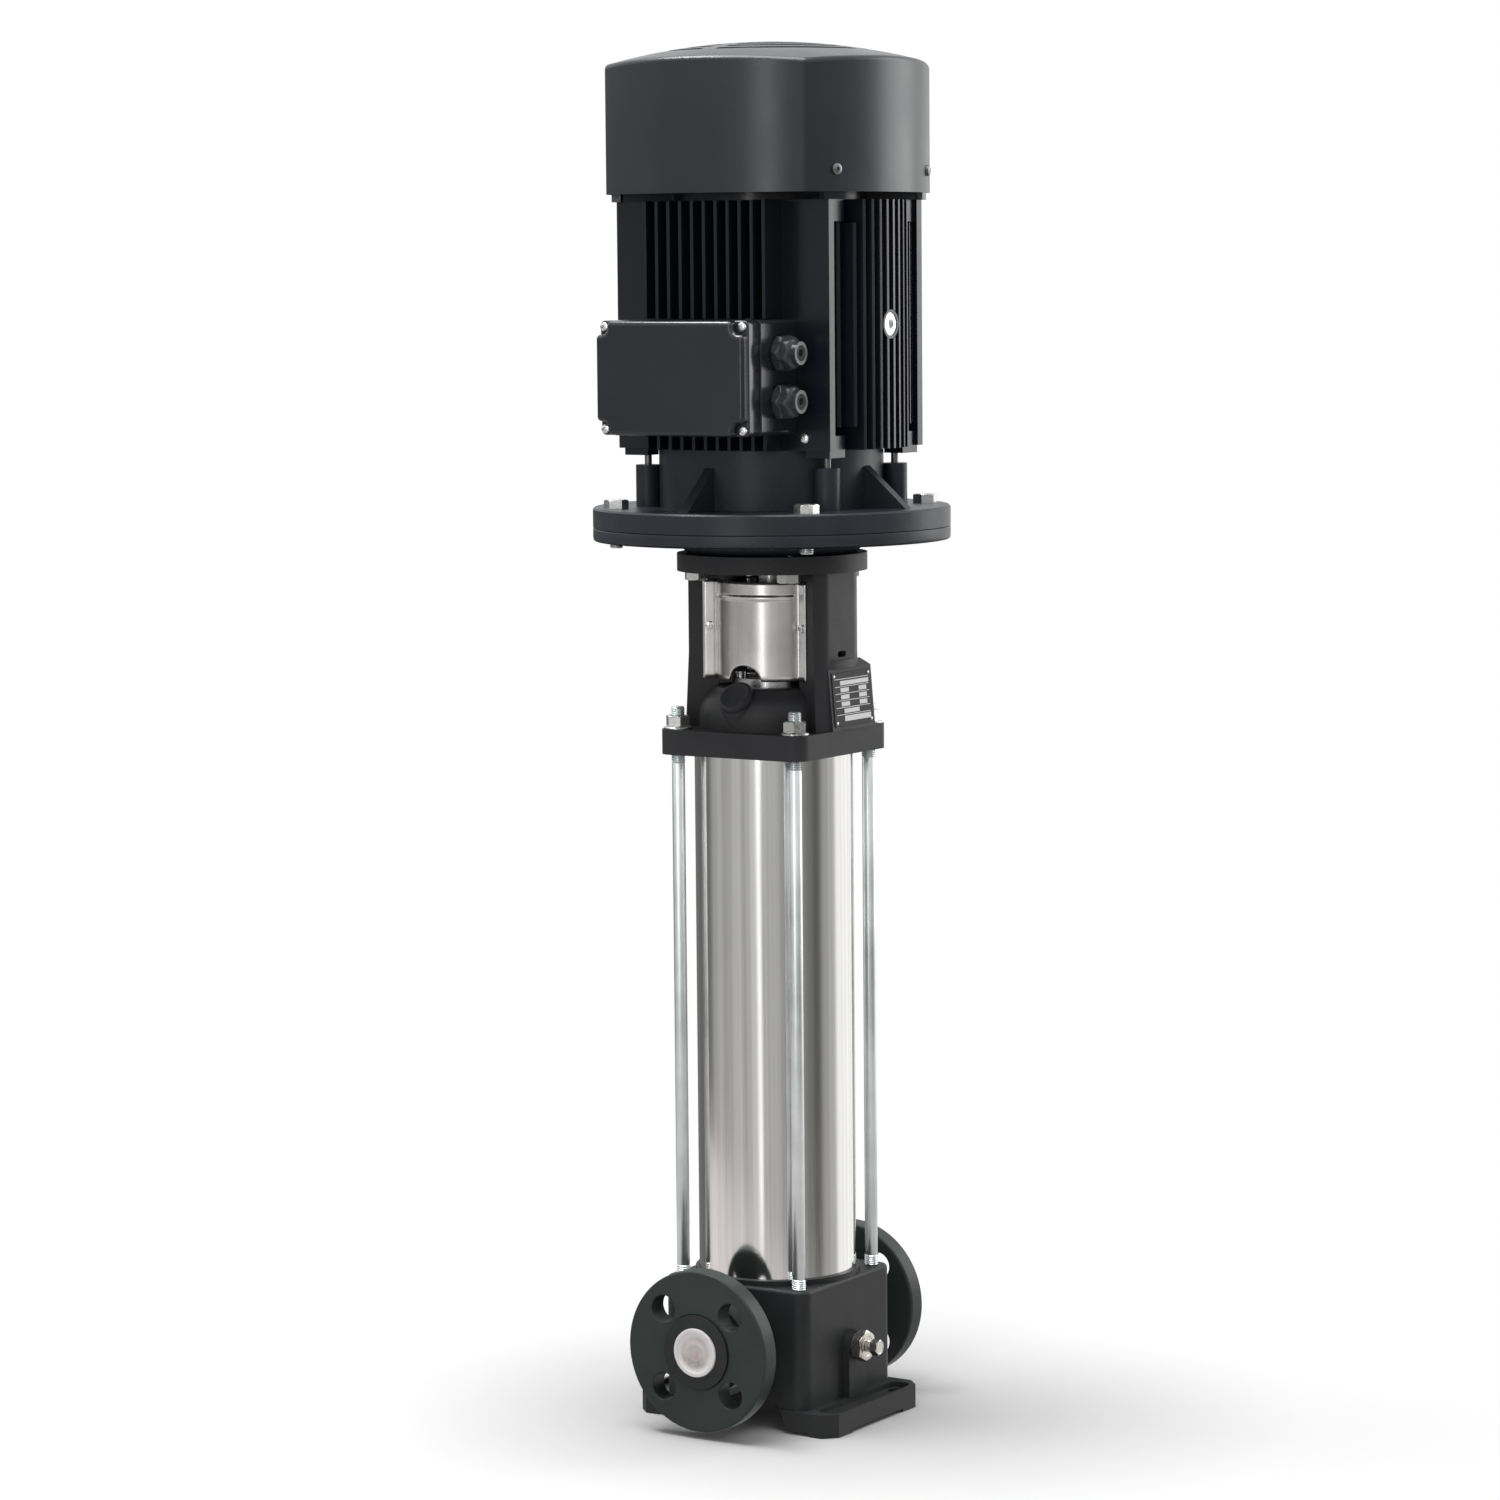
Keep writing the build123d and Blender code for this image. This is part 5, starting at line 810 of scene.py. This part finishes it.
# %% [markdown]
# ## Tie rods, nuts and washers
#
# Four rods clamp the sleeve between the base and the head. Each is bright bar with a rolled thread
# at both ends, so the thread stands a little prouder than the shank. The nuts sit on washers, and
# each is turned by its own amount, as they are after tightening.

# %% Tie rods
shank, wrench, rod_at = 5.45, 18, 58
rod_low, rod_high = (corner.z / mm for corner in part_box("tie_rods"))
nuts_low, nuts_high = (corner.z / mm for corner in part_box("tie_rod_nuts"))
washers_low, washers_high = (corner.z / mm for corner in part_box("tie_rod_washers"))
head_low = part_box("pump_head")[0].z / mm
base_high, thread_seen = 121, 9
shank_low, shank_high = base_high + thread_seen, head_low - thread_seen
rod_profile = (
    (0, rod_low), (root, rod_low), (root, shank_low - 0.6), (shank, shank_low), (shank, shank_high),
    (root, shank_high + 0.6), (root, rod_high - 0.5), (root - 0.5, rod_high), (0, rod_high),
)
rod_places = [(x, y, 0) for x in (-rod_at, rod_at) for y in (-rod_at, rod_at)]
rod = joined(
    turned(rod_profile, steps=48),
    thread(base_high - 4, shank_low - 0.9, rod_zinc),
    thread(shank_high + 0.9, head_low + 3, rod_zinc),
    thread(nuts_high - 4, rod_high - 1.2, rod_zinc),
)
repeated("rods", "tie_rods", rod, rod_zinc, rod_places, spread=pi, seed=3)

nut_places = [(x, y, nuts_low) for x, y, z in rod_places]
rod_nut = nut(wrench, nuts_high - nuts_low, crest + 0.1)
repeated("rod_nuts", "tie_rod_nuts", rod_nut, zinc, nut_places, spread=0.5, seed=8)

washer_places = [(x, y, washers_low) for x, y, z in rod_places]
ring = washer(6.5, 12, washers_high - washers_low)
repeated("rod_washers", "tie_rod_washers", ring, zinc, washer_places)
print("four rods of", round(rod_high - rod_low, 1), "mm with nuts and washers")

# %% [markdown]
# ## Hexagon bolts
#
# Four bolts join the motor's flange to the adapter, and four more join the adapter to the stool,
# heads down. A bolt is a head, a plain shank and a thread at its end.

# %% Flange bolts
def bolt(head, length, threaded):
    """A hexagon bolt whose head stands up from height 0, with its shank below."""
    shaft = turned((
        (0, -length), (root - 0.4, -length), (root, -length + 0.4), (root, -threaded - 0.4),
        (crest, -threaded), (crest, 0.1), (0, 0.1),
    ), steps=40)
    ridge = thread(-length + 1.0, -threaded - 0.9, zinc)
    return joined(bolt_head(wrench, head), shaft, ridge)


def four_of_circle(radius, level):
    """Four places at 45 degrees to the axes on a bolt circle."""
    reach = radius * sqrt(0.5)
    return [(x * reach, y * reach, level) for x in (-1, 1) for y in (-1, 1)]


flange_low, flange_high = (corner.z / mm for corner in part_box("flange_bolts"))
flange_top = 772.5
flange_places = four_of_circle(132.5, flange_top)
flange_bolt = bolt(flange_high - flange_top, flange_top - flange_low, 20)
repeated(
    "motor_flange_bolts", "flange_bolts", flange_bolt, zinc, flange_places, spread=0.5, seed=5
)

stool_low, stool_high = (corner.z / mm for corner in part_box("adapter_bolts"))
stool_under = 718.9
stool_places = four_of_circle(65, stool_under)
stool_bolt = bolt(stool_under - stool_low, stool_high - stool_under, 14)
downwards = [(0, 0, -1)] * 4
repeated(
    "stool_bolts", "adapter_bolts", stool_bolt, zinc, stool_places, downwards,
    turn=pi / 6, spread=0.4, seed=2,
)
print("eight hexagon bolts")

# %% [markdown]
# ## Small screws
#
# The guards, the fan cover, the lid and the earth point are held by small screws whose heads catch
# the light round a dark recess. A head is made as a polar net: rings of points whose height falls
# away to the rim, and drops where they are inside the recess, which is a radius for every angle.

# %% Screws with a recess
def cross(length, width):
    """The radius of a cross in every direction."""
    def reach(angle):
        folded = abs((angle + pi / 4) % (pi / 2) - pi / 4)
        return min(length / cos(folded), width / max(sin(folded), 0.01))
    return reach


def screw_head(radius, height, recess, depth, crown=0.35):
    """A head on height 0 with a crowned top, and a recess given by its radius at every angle."""
    def top(distance):
        return height * (1 - crown * (distance / radius) ** 2.5)

    rings = [("full", 0.0), ("full", 0.55), ("full", 1.0)]
    rings += [("between", share) for share in (1.0, 0.85, 0.6, 0.3, 0.08, 0.0)]
    rings += [("inside", 0.94), ("floor", 0.9)]
    work = bmesh.new()
    rows = [[work.verts.new((0, 0, 0))]]
    for kind, share in rings:
        def spot(angle):
            edge = recess(angle)
            if kind == "full":
                return radius, top(radius) * share
            if kind == "between":
                reach = edge + (radius * 0.995 - edge) * share
                return reach, top(reach)
            return edge * share, top(edge) - (0.2 if kind == "inside" else depth)

        rows.append(round_row(work, head_steps, spot))
    rows.append([work.verts.new((0, 0, (top(0) - depth * 1.15) * mm))])
    return skinned(work, rows)


strip_angle, sheet_thick, guard_screw_reach, guard_screw_level = 29, 1.2, 53, 672
strip = Vector((cos(radians(strip_angle)), -sin(radians(strip_angle)), 0))
outward = Vector((-sin(radians(strip_angle)), -cos(radians(strip_angle)), 0))
guard_spot = strip * guard_screw_reach + outward * sheet_thick
signs = [(x, y) for x in (1, -1) for y in (1, -1)]
guard_places = [(guard_spot.x * x, guard_spot.y * y, guard_screw_level) for x, y in signs]
guard_aims = [(outward.x * x, outward.y * y, 0) for x, y in signs]
guard_screw = screw_head(3.7, 2.3, cross(1.9, 0.55), 1.2)
repeated(
    "guard_screw_heads", "guard_screws", guard_screw, zinc, guard_places, guard_aims,
    spread=0.8, seed=11, sharp=40,
)

to_front = [(0, -1, 0)]
lid_middle, lid_shoulder, lid_screw_x, lid_screw_z = 882.5, -145.2, 67, 41.7
lid_places = [
    (x, lid_shoulder, lid_middle + z)
    for x in (-lid_screw_x, lid_screw_x) for z in (-lid_screw_z, lid_screw_z)
]
lid_screw = screw_head(3.6, 3, hexagon(2.6), 1.6)
repeated(
    "lid_screw_heads", "box_screws", lid_screw, zinc, lid_places, to_front * 4,
    spread=0.6, seed=4, sharp=40,
)
earth_screw = screw_head(4.3, 3.5, cross(2.4, 0.6), 1.5)
earth_place = (80, -73.2, 832)
repeated(
    "earth_screw_head", "box_screws", earth_screw, zinc, [earth_place], to_front,
    turn=0.6, sharp=40,
)

cover_side_radius, cover_x, cover_y, cover_level = 193.6, 110.3, 71.5, 1050
cover_angle = asin(cover_y / cover_side_radius)
cover_places = [(x * cover_x, y * cover_y, cover_level) for x in (-1, 1) for y in (-1, 1)]
cover_aims = [(x * cos(cover_angle), y * sin(cover_angle), 0) for x in (-1, 1) for y in (-1, 1)]
cover_screw = screw_head(4.5, 3, hexagon(3.2), 1.8)
repeated(
    "cover_screw_heads", "cover_screws", cover_screw, dark_steel, cover_places, cover_aims,
    seed=6, sharp=40,
)
print("thirteen small screws")

# %% [markdown]
# ## Terminal box lid
#
# The lid is moulded with a raised middle that steps back round each corner screw, and every edge
# is well rounded, which gives the long highlight along its top. Bevel would shrink all its widths
# to the smallest place, so the lid is a stack of outlines instead: the same rule draws the
# outline at every depth, a little smaller each time round the edge.

# %% A lid from stacked outlines
lid_wide, lid_tall, lid_radius = 144, 93.4, 4
lid_back, lid_front = -127.2, -153.4
pocket, pocket_round, panel_round, panel_edge = 11, 5.6, 4.2, 3.6


def arc(centre_x, centre_y, radius, start, stop):
    """Nine points of an arc between two angles in degrees."""
    turns = [radians(start + (stop - start) * step / 8) for step in range(9)]
    return [(centre_x + radius * cos(turn), centre_y + radius * sin(turn)) for turn in turns]


def four_corners(corner):
    """An outline from one corner's points, mirrored into the other three in order."""
    flipped = corner[::-1]
    outline = list(corner)
    outline += [(-x, y) for x, y in flipped]
    outline += [(-x, -y) for x, y in corner]
    outline += [(x, -y) for x, y in flipped]
    return outline


def plain_outline(inset):
    """The rim of the lid, round at its corners."""
    reach = max(lid_radius - inset, 0.3)
    return four_corners(arc(
        lid_wide / 2 - inset - reach, lid_tall / 2 - inset - reach, reach, 0, 90
    ))


def pocketed_outline(inset):
    """The raised middle, which steps back round the screw at each corner."""
    reach = max(panel_round - inset, 0.3)
    hollow = pocket_round + inset
    across, upward = lid_wide / 2, lid_tall / 2
    lower = arc(across - inset - reach, upward - pocket - inset - reach, reach, 0, 90)
    inner = arc(across - pocket + pocket_round, upward - pocket + pocket_round, hollow, 270, 180)
    upper = arc(across - pocket - inset - reach, upward - inset - reach, reach, 0, 90)
    return four_corners(lower + inner + upper)


def stacked(outline, rows):
    """A closed mesh from an outline rule and rows of (depth, inset)."""
    work = bmesh.new()
    loops = []
    for depth, inset in rows:
        loops.append([
            work.verts.new((x * mm, depth * mm, (lid_middle + z) * mm)) for x, z in outline(inset)
        ])
    work.faces.new(loops[0])
    work.faces.new(loops[-1])
    return skinned(work, loops)


def round_over(front, radius, inset):
    """Eight rows that round an edge off towards the front."""
    turns = [pi / 2 * step / 7 for step in range(8)]
    return [(front + radius * (1 - sin(turn)), inset + radius * (1 - cos(turn))) for turn in turns]


rim_rows = [(lid_back, 0.4), (lid_back - 0.5, 0.0)]
rim_rows += round_over(lid_shoulder, 1.6, 0.0) + [(lid_shoulder, 2.2)]
panel_rows = [(lid_shoulder + 0.5, -0.3), (lid_shoulder - 0.4, 0.0)]
panel_rows += round_over(lid_front, panel_edge, 0.3) + [(lid_front, panel_edge + 0.9)]
rim = finished(stacked(plain_outline, rim_rows), "lid_rim", box_paint, sharp=50)
panel = finished(stacked(pocketed_outline, panel_rows), "lid_panel", box_paint, sharp=50)
stand_for(rim, "terminal_lid")
stand_for(panel, "terminal_lid")
print("lid of", len(rim.data.polygons) + len(panel.data.polygons), "faces")

# %% [markdown]
# ## Coupling guards
#
# Each guard is one sheet of stainless steel: a half drum with a bead pressed round it near the top,
# a notch cut in its lower edge, and a strip folded out on each side. Sheet metal has one thickness,
# so only its middle surface is modelled, as rows and columns of points. Each column finds its own
# lower end on the notch, and a Solidify modifier adds the thickness.

# %% Two guards of sheet
drum_radius, strip_reach, fold_angle = 45.4, 58.9, 2.4
guard_low, guard_high = (corner.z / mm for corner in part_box("guard_front"))
bead_at, bead_half, bead_proud = guard_low + 69.7, 1.5, 1.3
notch_half, notch_high = 15.5, 13.0
flat_rows_from = guard_low + 22


def plan_of_guard():
    """Points across the sheet as (x, y, outward x, outward y, share of the bead)."""
    turns = [-strip_angle - (180 - 2 * strip_angle) * step / 90 for step in range(91)]
    plan = []
    for turn in turns:
        from_fold = min(-strip_angle - turn, 180 - strip_angle + turn)
        ease = max(0.0, 1 - from_fold / fold_angle)
        radius = drum_radius + 1.6 * ease ** 2
        share = min(1.0, max(0.0, (from_fold - 3) / 4))
        out = (cos(radians(turn)), sin(radians(turn)))
        plan.append((radius * out[0], radius * out[1], out[0], out[1], share))
    for side in (1, -1):
        along_strip = (side * cos(radians(strip_angle)), -sin(radians(strip_angle)))
        off_strip = (-side * sin(radians(strip_angle)), -cos(radians(strip_angle)))
        folded = []
        for reach in (drum_radius + 2.6, drum_radius + 5, strip_reach - 3, strip_reach):
            x = along_strip[0] * reach + off_strip[0] * sheet_thick / 2
            y = along_strip[1] * reach + off_strip[1] * sheet_thick / 2
            folded.append((x, y, off_strip[0], off_strip[1], 0.0))
        plan = folded[::-1] + plan if side == 1 else plan + folded
    return plan


def guard_sheet_mesh(facing):
    """The middle surface of one guard, facing -Y for 1 and +Y for -1."""
    work = bmesh.new()
    columns = []
    for x, y, out_x, out_y, share in plan_of_guard():
        notch = sqrt(max(0.0, 1 - (x / notch_half) ** 2)) if share == 1.0 else 0.0
        start = guard_low + notch_high * notch
        levels = [start + (flat_rows_from - start) * step / 5 for step in range(5)]
        levels += [flat_rows_from + (bead_at - 4 - flat_rows_from) * step / 6 for step in range(6)]
        levels += [bead_at - 4 + 8 * step / 16 for step in range(16)]
        levels += [bead_at + 4 + (guard_high - bead_at - 4) * step / 3 for step in range(4)]
        column = []
        for level in levels:
            away = min(1.0, abs(level - bead_at) / (2 * bead_half))
            lift = share * bead_proud * (0.5 + 0.5 * cos(pi * away))
            spot = (facing * (x + out_x * lift) * mm, facing * (y + out_y * lift) * mm, level * mm)
            column.append(work.verts.new(spot))
        columns.append(column)
    for first, second in zip(columns, columns[1:]):
        for step in range(len(first) - 1):
            work.faces.new((first[step], first[step + 1], second[step + 1], second[step]))
    return work


for guard, facing in (("guard_front", 1), ("guard_back", -1)):
    sheet_piece = finished(guard_sheet_mesh(facing), guard + "_sheet", guard_steel, sharp=40)
    wall = sheet_piece.modifiers.new("wall", "SOLIDIFY")
    wall.thickness = sheet_thick * mm
    wall.offset = 0.0
    stand_for(baked(sheet_piece, guard + "_formed"), guard)
print("two guards, bead at", round(bead_at, 1))

# %% [markdown]
# ## Cable glands
#
# Two plastic glands close the cable entries. Each has a hexagon base and a cap nut whose corners
# fade into a dome, which is the hexagon rule again with a rounded limit instead of a cone. A rubber
# plug fills the mouth until a cable is drawn in.

# %% Glands
gland_y, gland_levels = -99, (902.1, 862.9)
box_side = 72
base_hex, nut_hex, mouth = 27, 25, 6.5
sideways = [(1, 0, 0)] * 2
gland_places = [(box_side, gland_y, z) for z in gland_levels]

barrel = turned(((mouth, -8.0), (9.5, -8.0), (9.5, 21.0), (mouth, 21.0)), steps=64)
locknut = hexed(23, [(-8, 13.2), (-4, 13.2), (-4, 9.4), (-8, 9.4)])
collar = hexed(base_hex, cone_ends(base_hex, 8, slope=0.9) + [(8, 9.4), (0, 9.4)])
gland_base = joined(barrel, locknut, collar)
repeated("gland_bases", "gland_bodies", gland_base, gland_plastic, gland_places, sideways)

nut_start, nut_end, dome_start, dome_end, dome_radius = 0.3, 18.3, 9.0, 16.1, 9.3
nut_corner = nut_hex / sqrt(3)
nut_rows = [(nut_start, 13.2), (nut_start + 0.8, nut_corner)]
for rise in [step / 12 for step in range(13)]:
    limit = dome_radius + (nut_corner - dome_radius) * sqrt(1 - rise ** 2)
    nut_rows.append((dome_start + (dome_end - dome_start) * rise, limit))
nut_rows += [
    (nut_end - 2.0, 9.1), (nut_end - 1.8, 8.6), (nut_end - 0.5, 8.3), (nut_end, 7.8),
    (nut_end, mouth + 0.3), (nut_end - 0.4, mouth), (nut_start, 9.6),
]
for level, height, turn in (("upper", gland_levels[0], 0.35), ("lower", gland_levels[1], 0.1)):
    repeated(
        "gland_cap_" + level, "gland_nut_" + level, hexed(nut_hex, nut_rows), gland_plastic,
        [(box_side, gland_y, height)], [(1, 0, 0)], turn=turn,
    )

seal = turned((
    (0, 15.2), (6.2, 15.2), (6.4, 15.6), (6.4, 20.4), (5.9, 20.9), (3.4, 20.9), (3.0, 20.2),
    (2.6, 18.5), (0, 18.3),
), steps=48)
repeated("gland_mouth_seals", "gland_seals", seal, rubber, gland_places, sideways)
print("two glands of", nut_hex, "mm across flats")

# %% [markdown]
# ## Plugs
#
# The drain plug is nickel plated, with a small valve screw in its middle. The priming plug is
# painted over with the head. The plug in the motor's side is bright and has a hexagon socket, so it
# is made like the screws, from a recess that is a radius for every angle.

# %% Drain, priming and side plugs
drain_y, drain_z = 2.5, 63.8
pad_face, hex_face = 77.5, 88.0
out_x = [(1, 0, 0)]
drain_ring = washer(8, 11.5, 2)
drain_flats = 24
drain_rows = [(2, 0), (2, drain_flats / sqrt(3))] + cone_top(drain_flats, 10.5)
drain_rows += [(10.5, 8.6), (10.1, 8.2), (10.1, 4.3), (-3, 4.3), (-3, 0)]
drain_hex = hexed(drain_flats, drain_rows)
drain_shaft = turned(((4.3, -11), (8, -11), (8, 2.2), (4.3, 2.2)), steps=48)
drain_work = joined(drain_ring, drain_hex, drain_shaft)
drain_place, valve_place = [(pad_face, drain_y, drain_z)], [(hex_face, drain_y, drain_z)]
repeated("drain_body", "drain_plug", drain_work, nickel, drain_place, out_x, turn=pi / 6)

valve_neck = turned((
    (0, -14), (4, -14), (4, 0), (4.8, 0.1), (4.8, 1.4), (4.2, 1.8), (4.2, 3.6), (4.8, 4.0),
    (4.8, 5.2), (0, 5.2),
), steps=40)
valve_hex = bolt_head(12, 7)
bmesh.ops.translate(valve_hex, verts=valve_hex.verts[:], vec=(0, 0, 5 * mm))
valve_work = joined(valve_neck, valve_hex)
repeated("drain_valve", "drain_valve_screw", valve_work, nickel, valve_place, out_x, turn=0.3)

plug_aim, plug_place = (0, -sqrt(0.5), sqrt(0.5)), (0, -55.4, 613.2)
priming = turned((
    (0, -14), (9, -14), (9, 0), (14.2, 0), (15, 0.6), (15, 4.8), (14.6, 5.5), (13.8, 5.9),
    (12.2, 6.0), (11.8, 5.8), (11.4, 5.7), (0, 5.7),
))
repeated("priming_cap", "priming_plug", priming, head_paint, [plug_place], [plug_aim])

side_face, side_level, side_height = 118, 924, 3.2
side_place = [(side_face - side_height, 0, side_level)]
side_head = screw_head(9.5, side_height, hexagon(8), 2.6, crown=0.22)
side_shaft = turned(((0, -9), (9.4, -9), (9.4, 0.1), (0, 0.1)), steps=48)
side_work = joined(side_head, side_shaft)
repeated("side_plug_turned", "side_plug", side_work, zinc, side_place, out_x, sharp=40)
print("drain plug, valve screw, priming plug and side plug")

# %% [markdown]
# ## Port caps
#
# A milky plastic cap keeps dirt out of each port until the pump is fitted. It is moulded with a
# proud rim and a dished face. Thin polythene is cloudy, so its tone changes slowly over the face,
# and the thicker rim is whiter: the distance from the ports' axis tells the two apart.

# %% Port caps
port_level = 74
cap_plastic = Finish("milky_plastic")
cloud = cap_plastic.noise(90, detail=4.0)
flow = cap_plastic.noise(30, detail=2.0)
milky = cap_plastic.mix(
    cap_plastic.range(cloud * 0.6 + flow * 0.4, 0.35, 0.65, 0.0, 1.0),
    shade(0.36, 0.30, 0.30), shade(0.54, 0.49, 0.49),
)
from_port = cap_plastic.node(
    "VectorMath", inputs={0: cap_plastic.place, 1: (0, 0, port_level * mm)}, operation="SUBTRACT"
)
flat_place = cap_plastic.node(
    "VectorMath", inputs={0: from_port, 1: (1, 0, 1)}, operation="MULTIPLY"
)
from_axis = cap_plastic.node("VectorMath", out=1, inputs={0: flat_place}, operation="LENGTH")
outer_ring = cap_plastic.range(from_axis + cloud * 0.002, 0.0135, 0.016, 0.0, 1.0)
cap_plastic.set(
    Base_Color=cap_plastic.mix(outer_ring, milky, shade(0.58, 0.57, 0.57)),
    Roughness=cap_plastic.range(cloud, 0.3, 0.7, 0.24, 0.4),
    Subsurface_Weight=0.25, Subsurface_Scale=0.004,
)
cap_plastic.bump(flow + cloud * 0.3, 0.0004)

cap_seat = 128.1
cap_profile = (
    (0, 1.0), (6.5, 0.9), (7.1, 1.25), (7.7, 1.25), (8.3, 0.9), (15.5, 0.9), (16.6, 1.3),
    (17.2, 2.0), (18.2, 2.2), (19.8, 2.15), (20.4, 1.7), (20.5, 1.2), (20.5, 0.1), (20.3, 0),
    (17.45, 0), (17.45, -8.6), (17.2, -9), (16.3, -9), (16.05, -8.7), (16.05, -0.2), (15.6, 0.1),
    (0, 0.1),
)
for side_name, facing in (("front", -1), ("back", 1)):
    repeated(
        "cap_" + side_name, "port_cap_" + side_name, turned(cap_profile), cap_plastic.material,
        [(0, facing * cap_seat, port_level)], [(0, facing, 0)], sharp=35,
    )
print("two port caps")

# %% [markdown]
# ## Data plate
#
# The plate on the head is black anodised sheet with bare fields. It carries a UV map that runs from
# 0 to 1 over its face, so each field is four comparisons multiplied together, and the fields are
# added up into one mask. A field is given by its left, right, lower and upper edges.

# %% A ruled plate without words
plate_black = Finish("plate_black")
uv = plate_black.node("UVMap", uv_map="face")
across_plate = plate_black.node("SeparateXYZ", out=0, inputs={0: uv})
up_plate = plate_black.node("SeparateXYZ", out=1, inputs={0: uv})
fields = (
    (0.20, 0.95, 0.76, 0.84), (0.20, 0.42, 0.63, 0.71), (0.68, 0.88, 0.63, 0.71),
    (0.20, 0.42, 0.50, 0.58), (0.68, 0.88, 0.50, 0.58), (0.20, 0.42, 0.37, 0.45),
    (0.68, 0.88, 0.37, 0.45), (0.26, 0.66, 0.24, 0.32), (0.26, 0.95, 0.09, 0.19),
)
rules = (0.875, 0.735, 0.605, 0.475, 0.345, 0.215)
fields += tuple((0.06, 0.95, level - 0.006, level + 0.006) for level in rules)
printed = 0.0
for left, right_side, bottom, top_side in fields:
    beside = (across_plate > left) * (across_plate < right_side)
    printed = beside * (up_plate > bottom) * (up_plate < top_side) + printed
brushed = plate_black.noise(500, detail=3.0, stretch=(1, 12, 1))
plate_black.set(
    Base_Color=plate_black.mix(
        printed, plate_black.mix(brushed, shade(0.012, 0.012, 0.014), shade(0.03, 0.03, 0.034)),
        shade(0.62, 0.62, 0.62),
    ),
    Roughness=plate_black.range(brushed, 0.3, 0.7, 0.38, 0.5), Specular_IOR_Level=0.12,
)
plate_black.bump(brushed, 0.00002)


def ruled_plate(width, height, thick, corner_radius, edge):
    """A thin plate on height 0 with round corners, a broken edge and a UV map over its face."""
    work = bmesh.new()
    loops = []
    for shrink, level in ((0, 0), (0, thick - edge), (edge, thick)):
        loop = []
        for turn_count, (sx, sy) in enumerate(((1, 1), (-1, 1), (-1, -1), (1, -1))):
            for step in range(7):
                angle = pi / 2 * (turn_count + step / 6)
                x = sx * (width / 2 - corner_radius) + (corner_radius - shrink) * cos(angle)
                y = sy * (height / 2 - corner_radius) + (corner_radius - shrink) * sin(angle)
                loop.append(work.verts.new((x * mm, y * mm, level * mm)))
        loops.append(loop)
    work.faces.new(loops[-1])
    work.faces.new(reversed(loops[0]))
    skinned(work, loops)
    layer = work.loops.layers.uv.new("face")
    for face in work.faces:
        for loop in face.loops:
            spot = loop.vert.co / mm
            loop[layer].uv = (spot.x / width + 0.5, spot.y / height + 0.5)
    return work


slope = radians(5)
plate_centre = Vector((70.75, 11.5, 612.45))
plate_turn = Matrix((
    (0, -sin(slope), cos(slope)), (1, 0, 0), (0, cos(slope), sin(slope)),
))
plate_thick, rivet_x, rivet_y = 0.8, 27, 19.5
plate_work = ruled_plate(60, 45, plate_thick, corner_radius=1.5, edge=0.25)
plate_work.transform(Matrix.Translation(plate_centre * mm) @ plate_turn.to_4x4())
plate = finished(plate_work, "plate", plate_black.material)
stand_for(plate, "data_plate")

rivet = turned(((0, 0), (1.5, 0), (1.5, 0.25), (1.25, 0.6), (0.8, 0.82), (0, 0.9)), steps=24)
rivet_places = [
    tuple(plate_centre + plate_turn @ Vector((x, y, plate_thick)))
    for x in (-rivet_x, rivet_x) for y in (-rivet_y, rivet_y)
]
repeated("rivets", "plate_rivets", rivet, nickel, rivet_places, [tuple(plate_turn.col[2])] * 4)
print("plate with", len(fields), "bare fields and rules")

# %% [markdown]
# ## The pieces inside
#
# The solids that are right as they are keep their own meshes and get a finish. Most are inside: the
# stages, the shaft, the coupling and the motor's core can be seen through the grille, past the
# guards or when the machine is taken apart.

# %% Finishes on the solids that stay
laminations = bright_metal("laminations", shade(0.2, 0.2, 0.21), 0.45, (0.3, 0.3, 12.0), 0.00005)
carbon = coat("seal_carbon", shade(0.02, 0.02, 0.021), 0.45, 900, 0.00002)
fan_plastic = coat("fan_plastic", shade(0.02, 0.02, 0.022), 0.5, 700, 0.00004)
board_plastic = coat("board_plastic", shade(0.16, 0.05, 0.03), 0.5, 500, 0.00005)
finish_of = {
    "cast_black": head_paint, "cast_green": ring_paint, "motor_black": frame_paint,
    "cover_black": cover_paint, "box_black": box_paint, "zinc": zinc, "rod_zinc": rod_zinc,
    "sleeve_steel": sleeve_steel, "stage_steel": guard_steel, "guard_steel": guard_steel,
    "steel": steel, "laminations": laminations, "copper": copper, "rubber": rubber,
    "seal_carbon": carbon, "fan_plastic": fan_plastic, "board_plastic": board_plastic,
    "gland_plastic": gland_plastic, "plate_steel": plate_black.material,
    "cap_plastic": cap_plastic.material,
}
rounded("fan", 0.6, fan_plastic)
kept = 0
for node, solid in nodes.items():
    if solid.hide_render:
        continue
    paint = dark_steel if node == "through_bolts" else finish_of[slot_of[node]]
    solid.data.materials.clear()
    solid.data.materials.append(paint)
    kept += 1
print(kept, "solids keep their meshes")
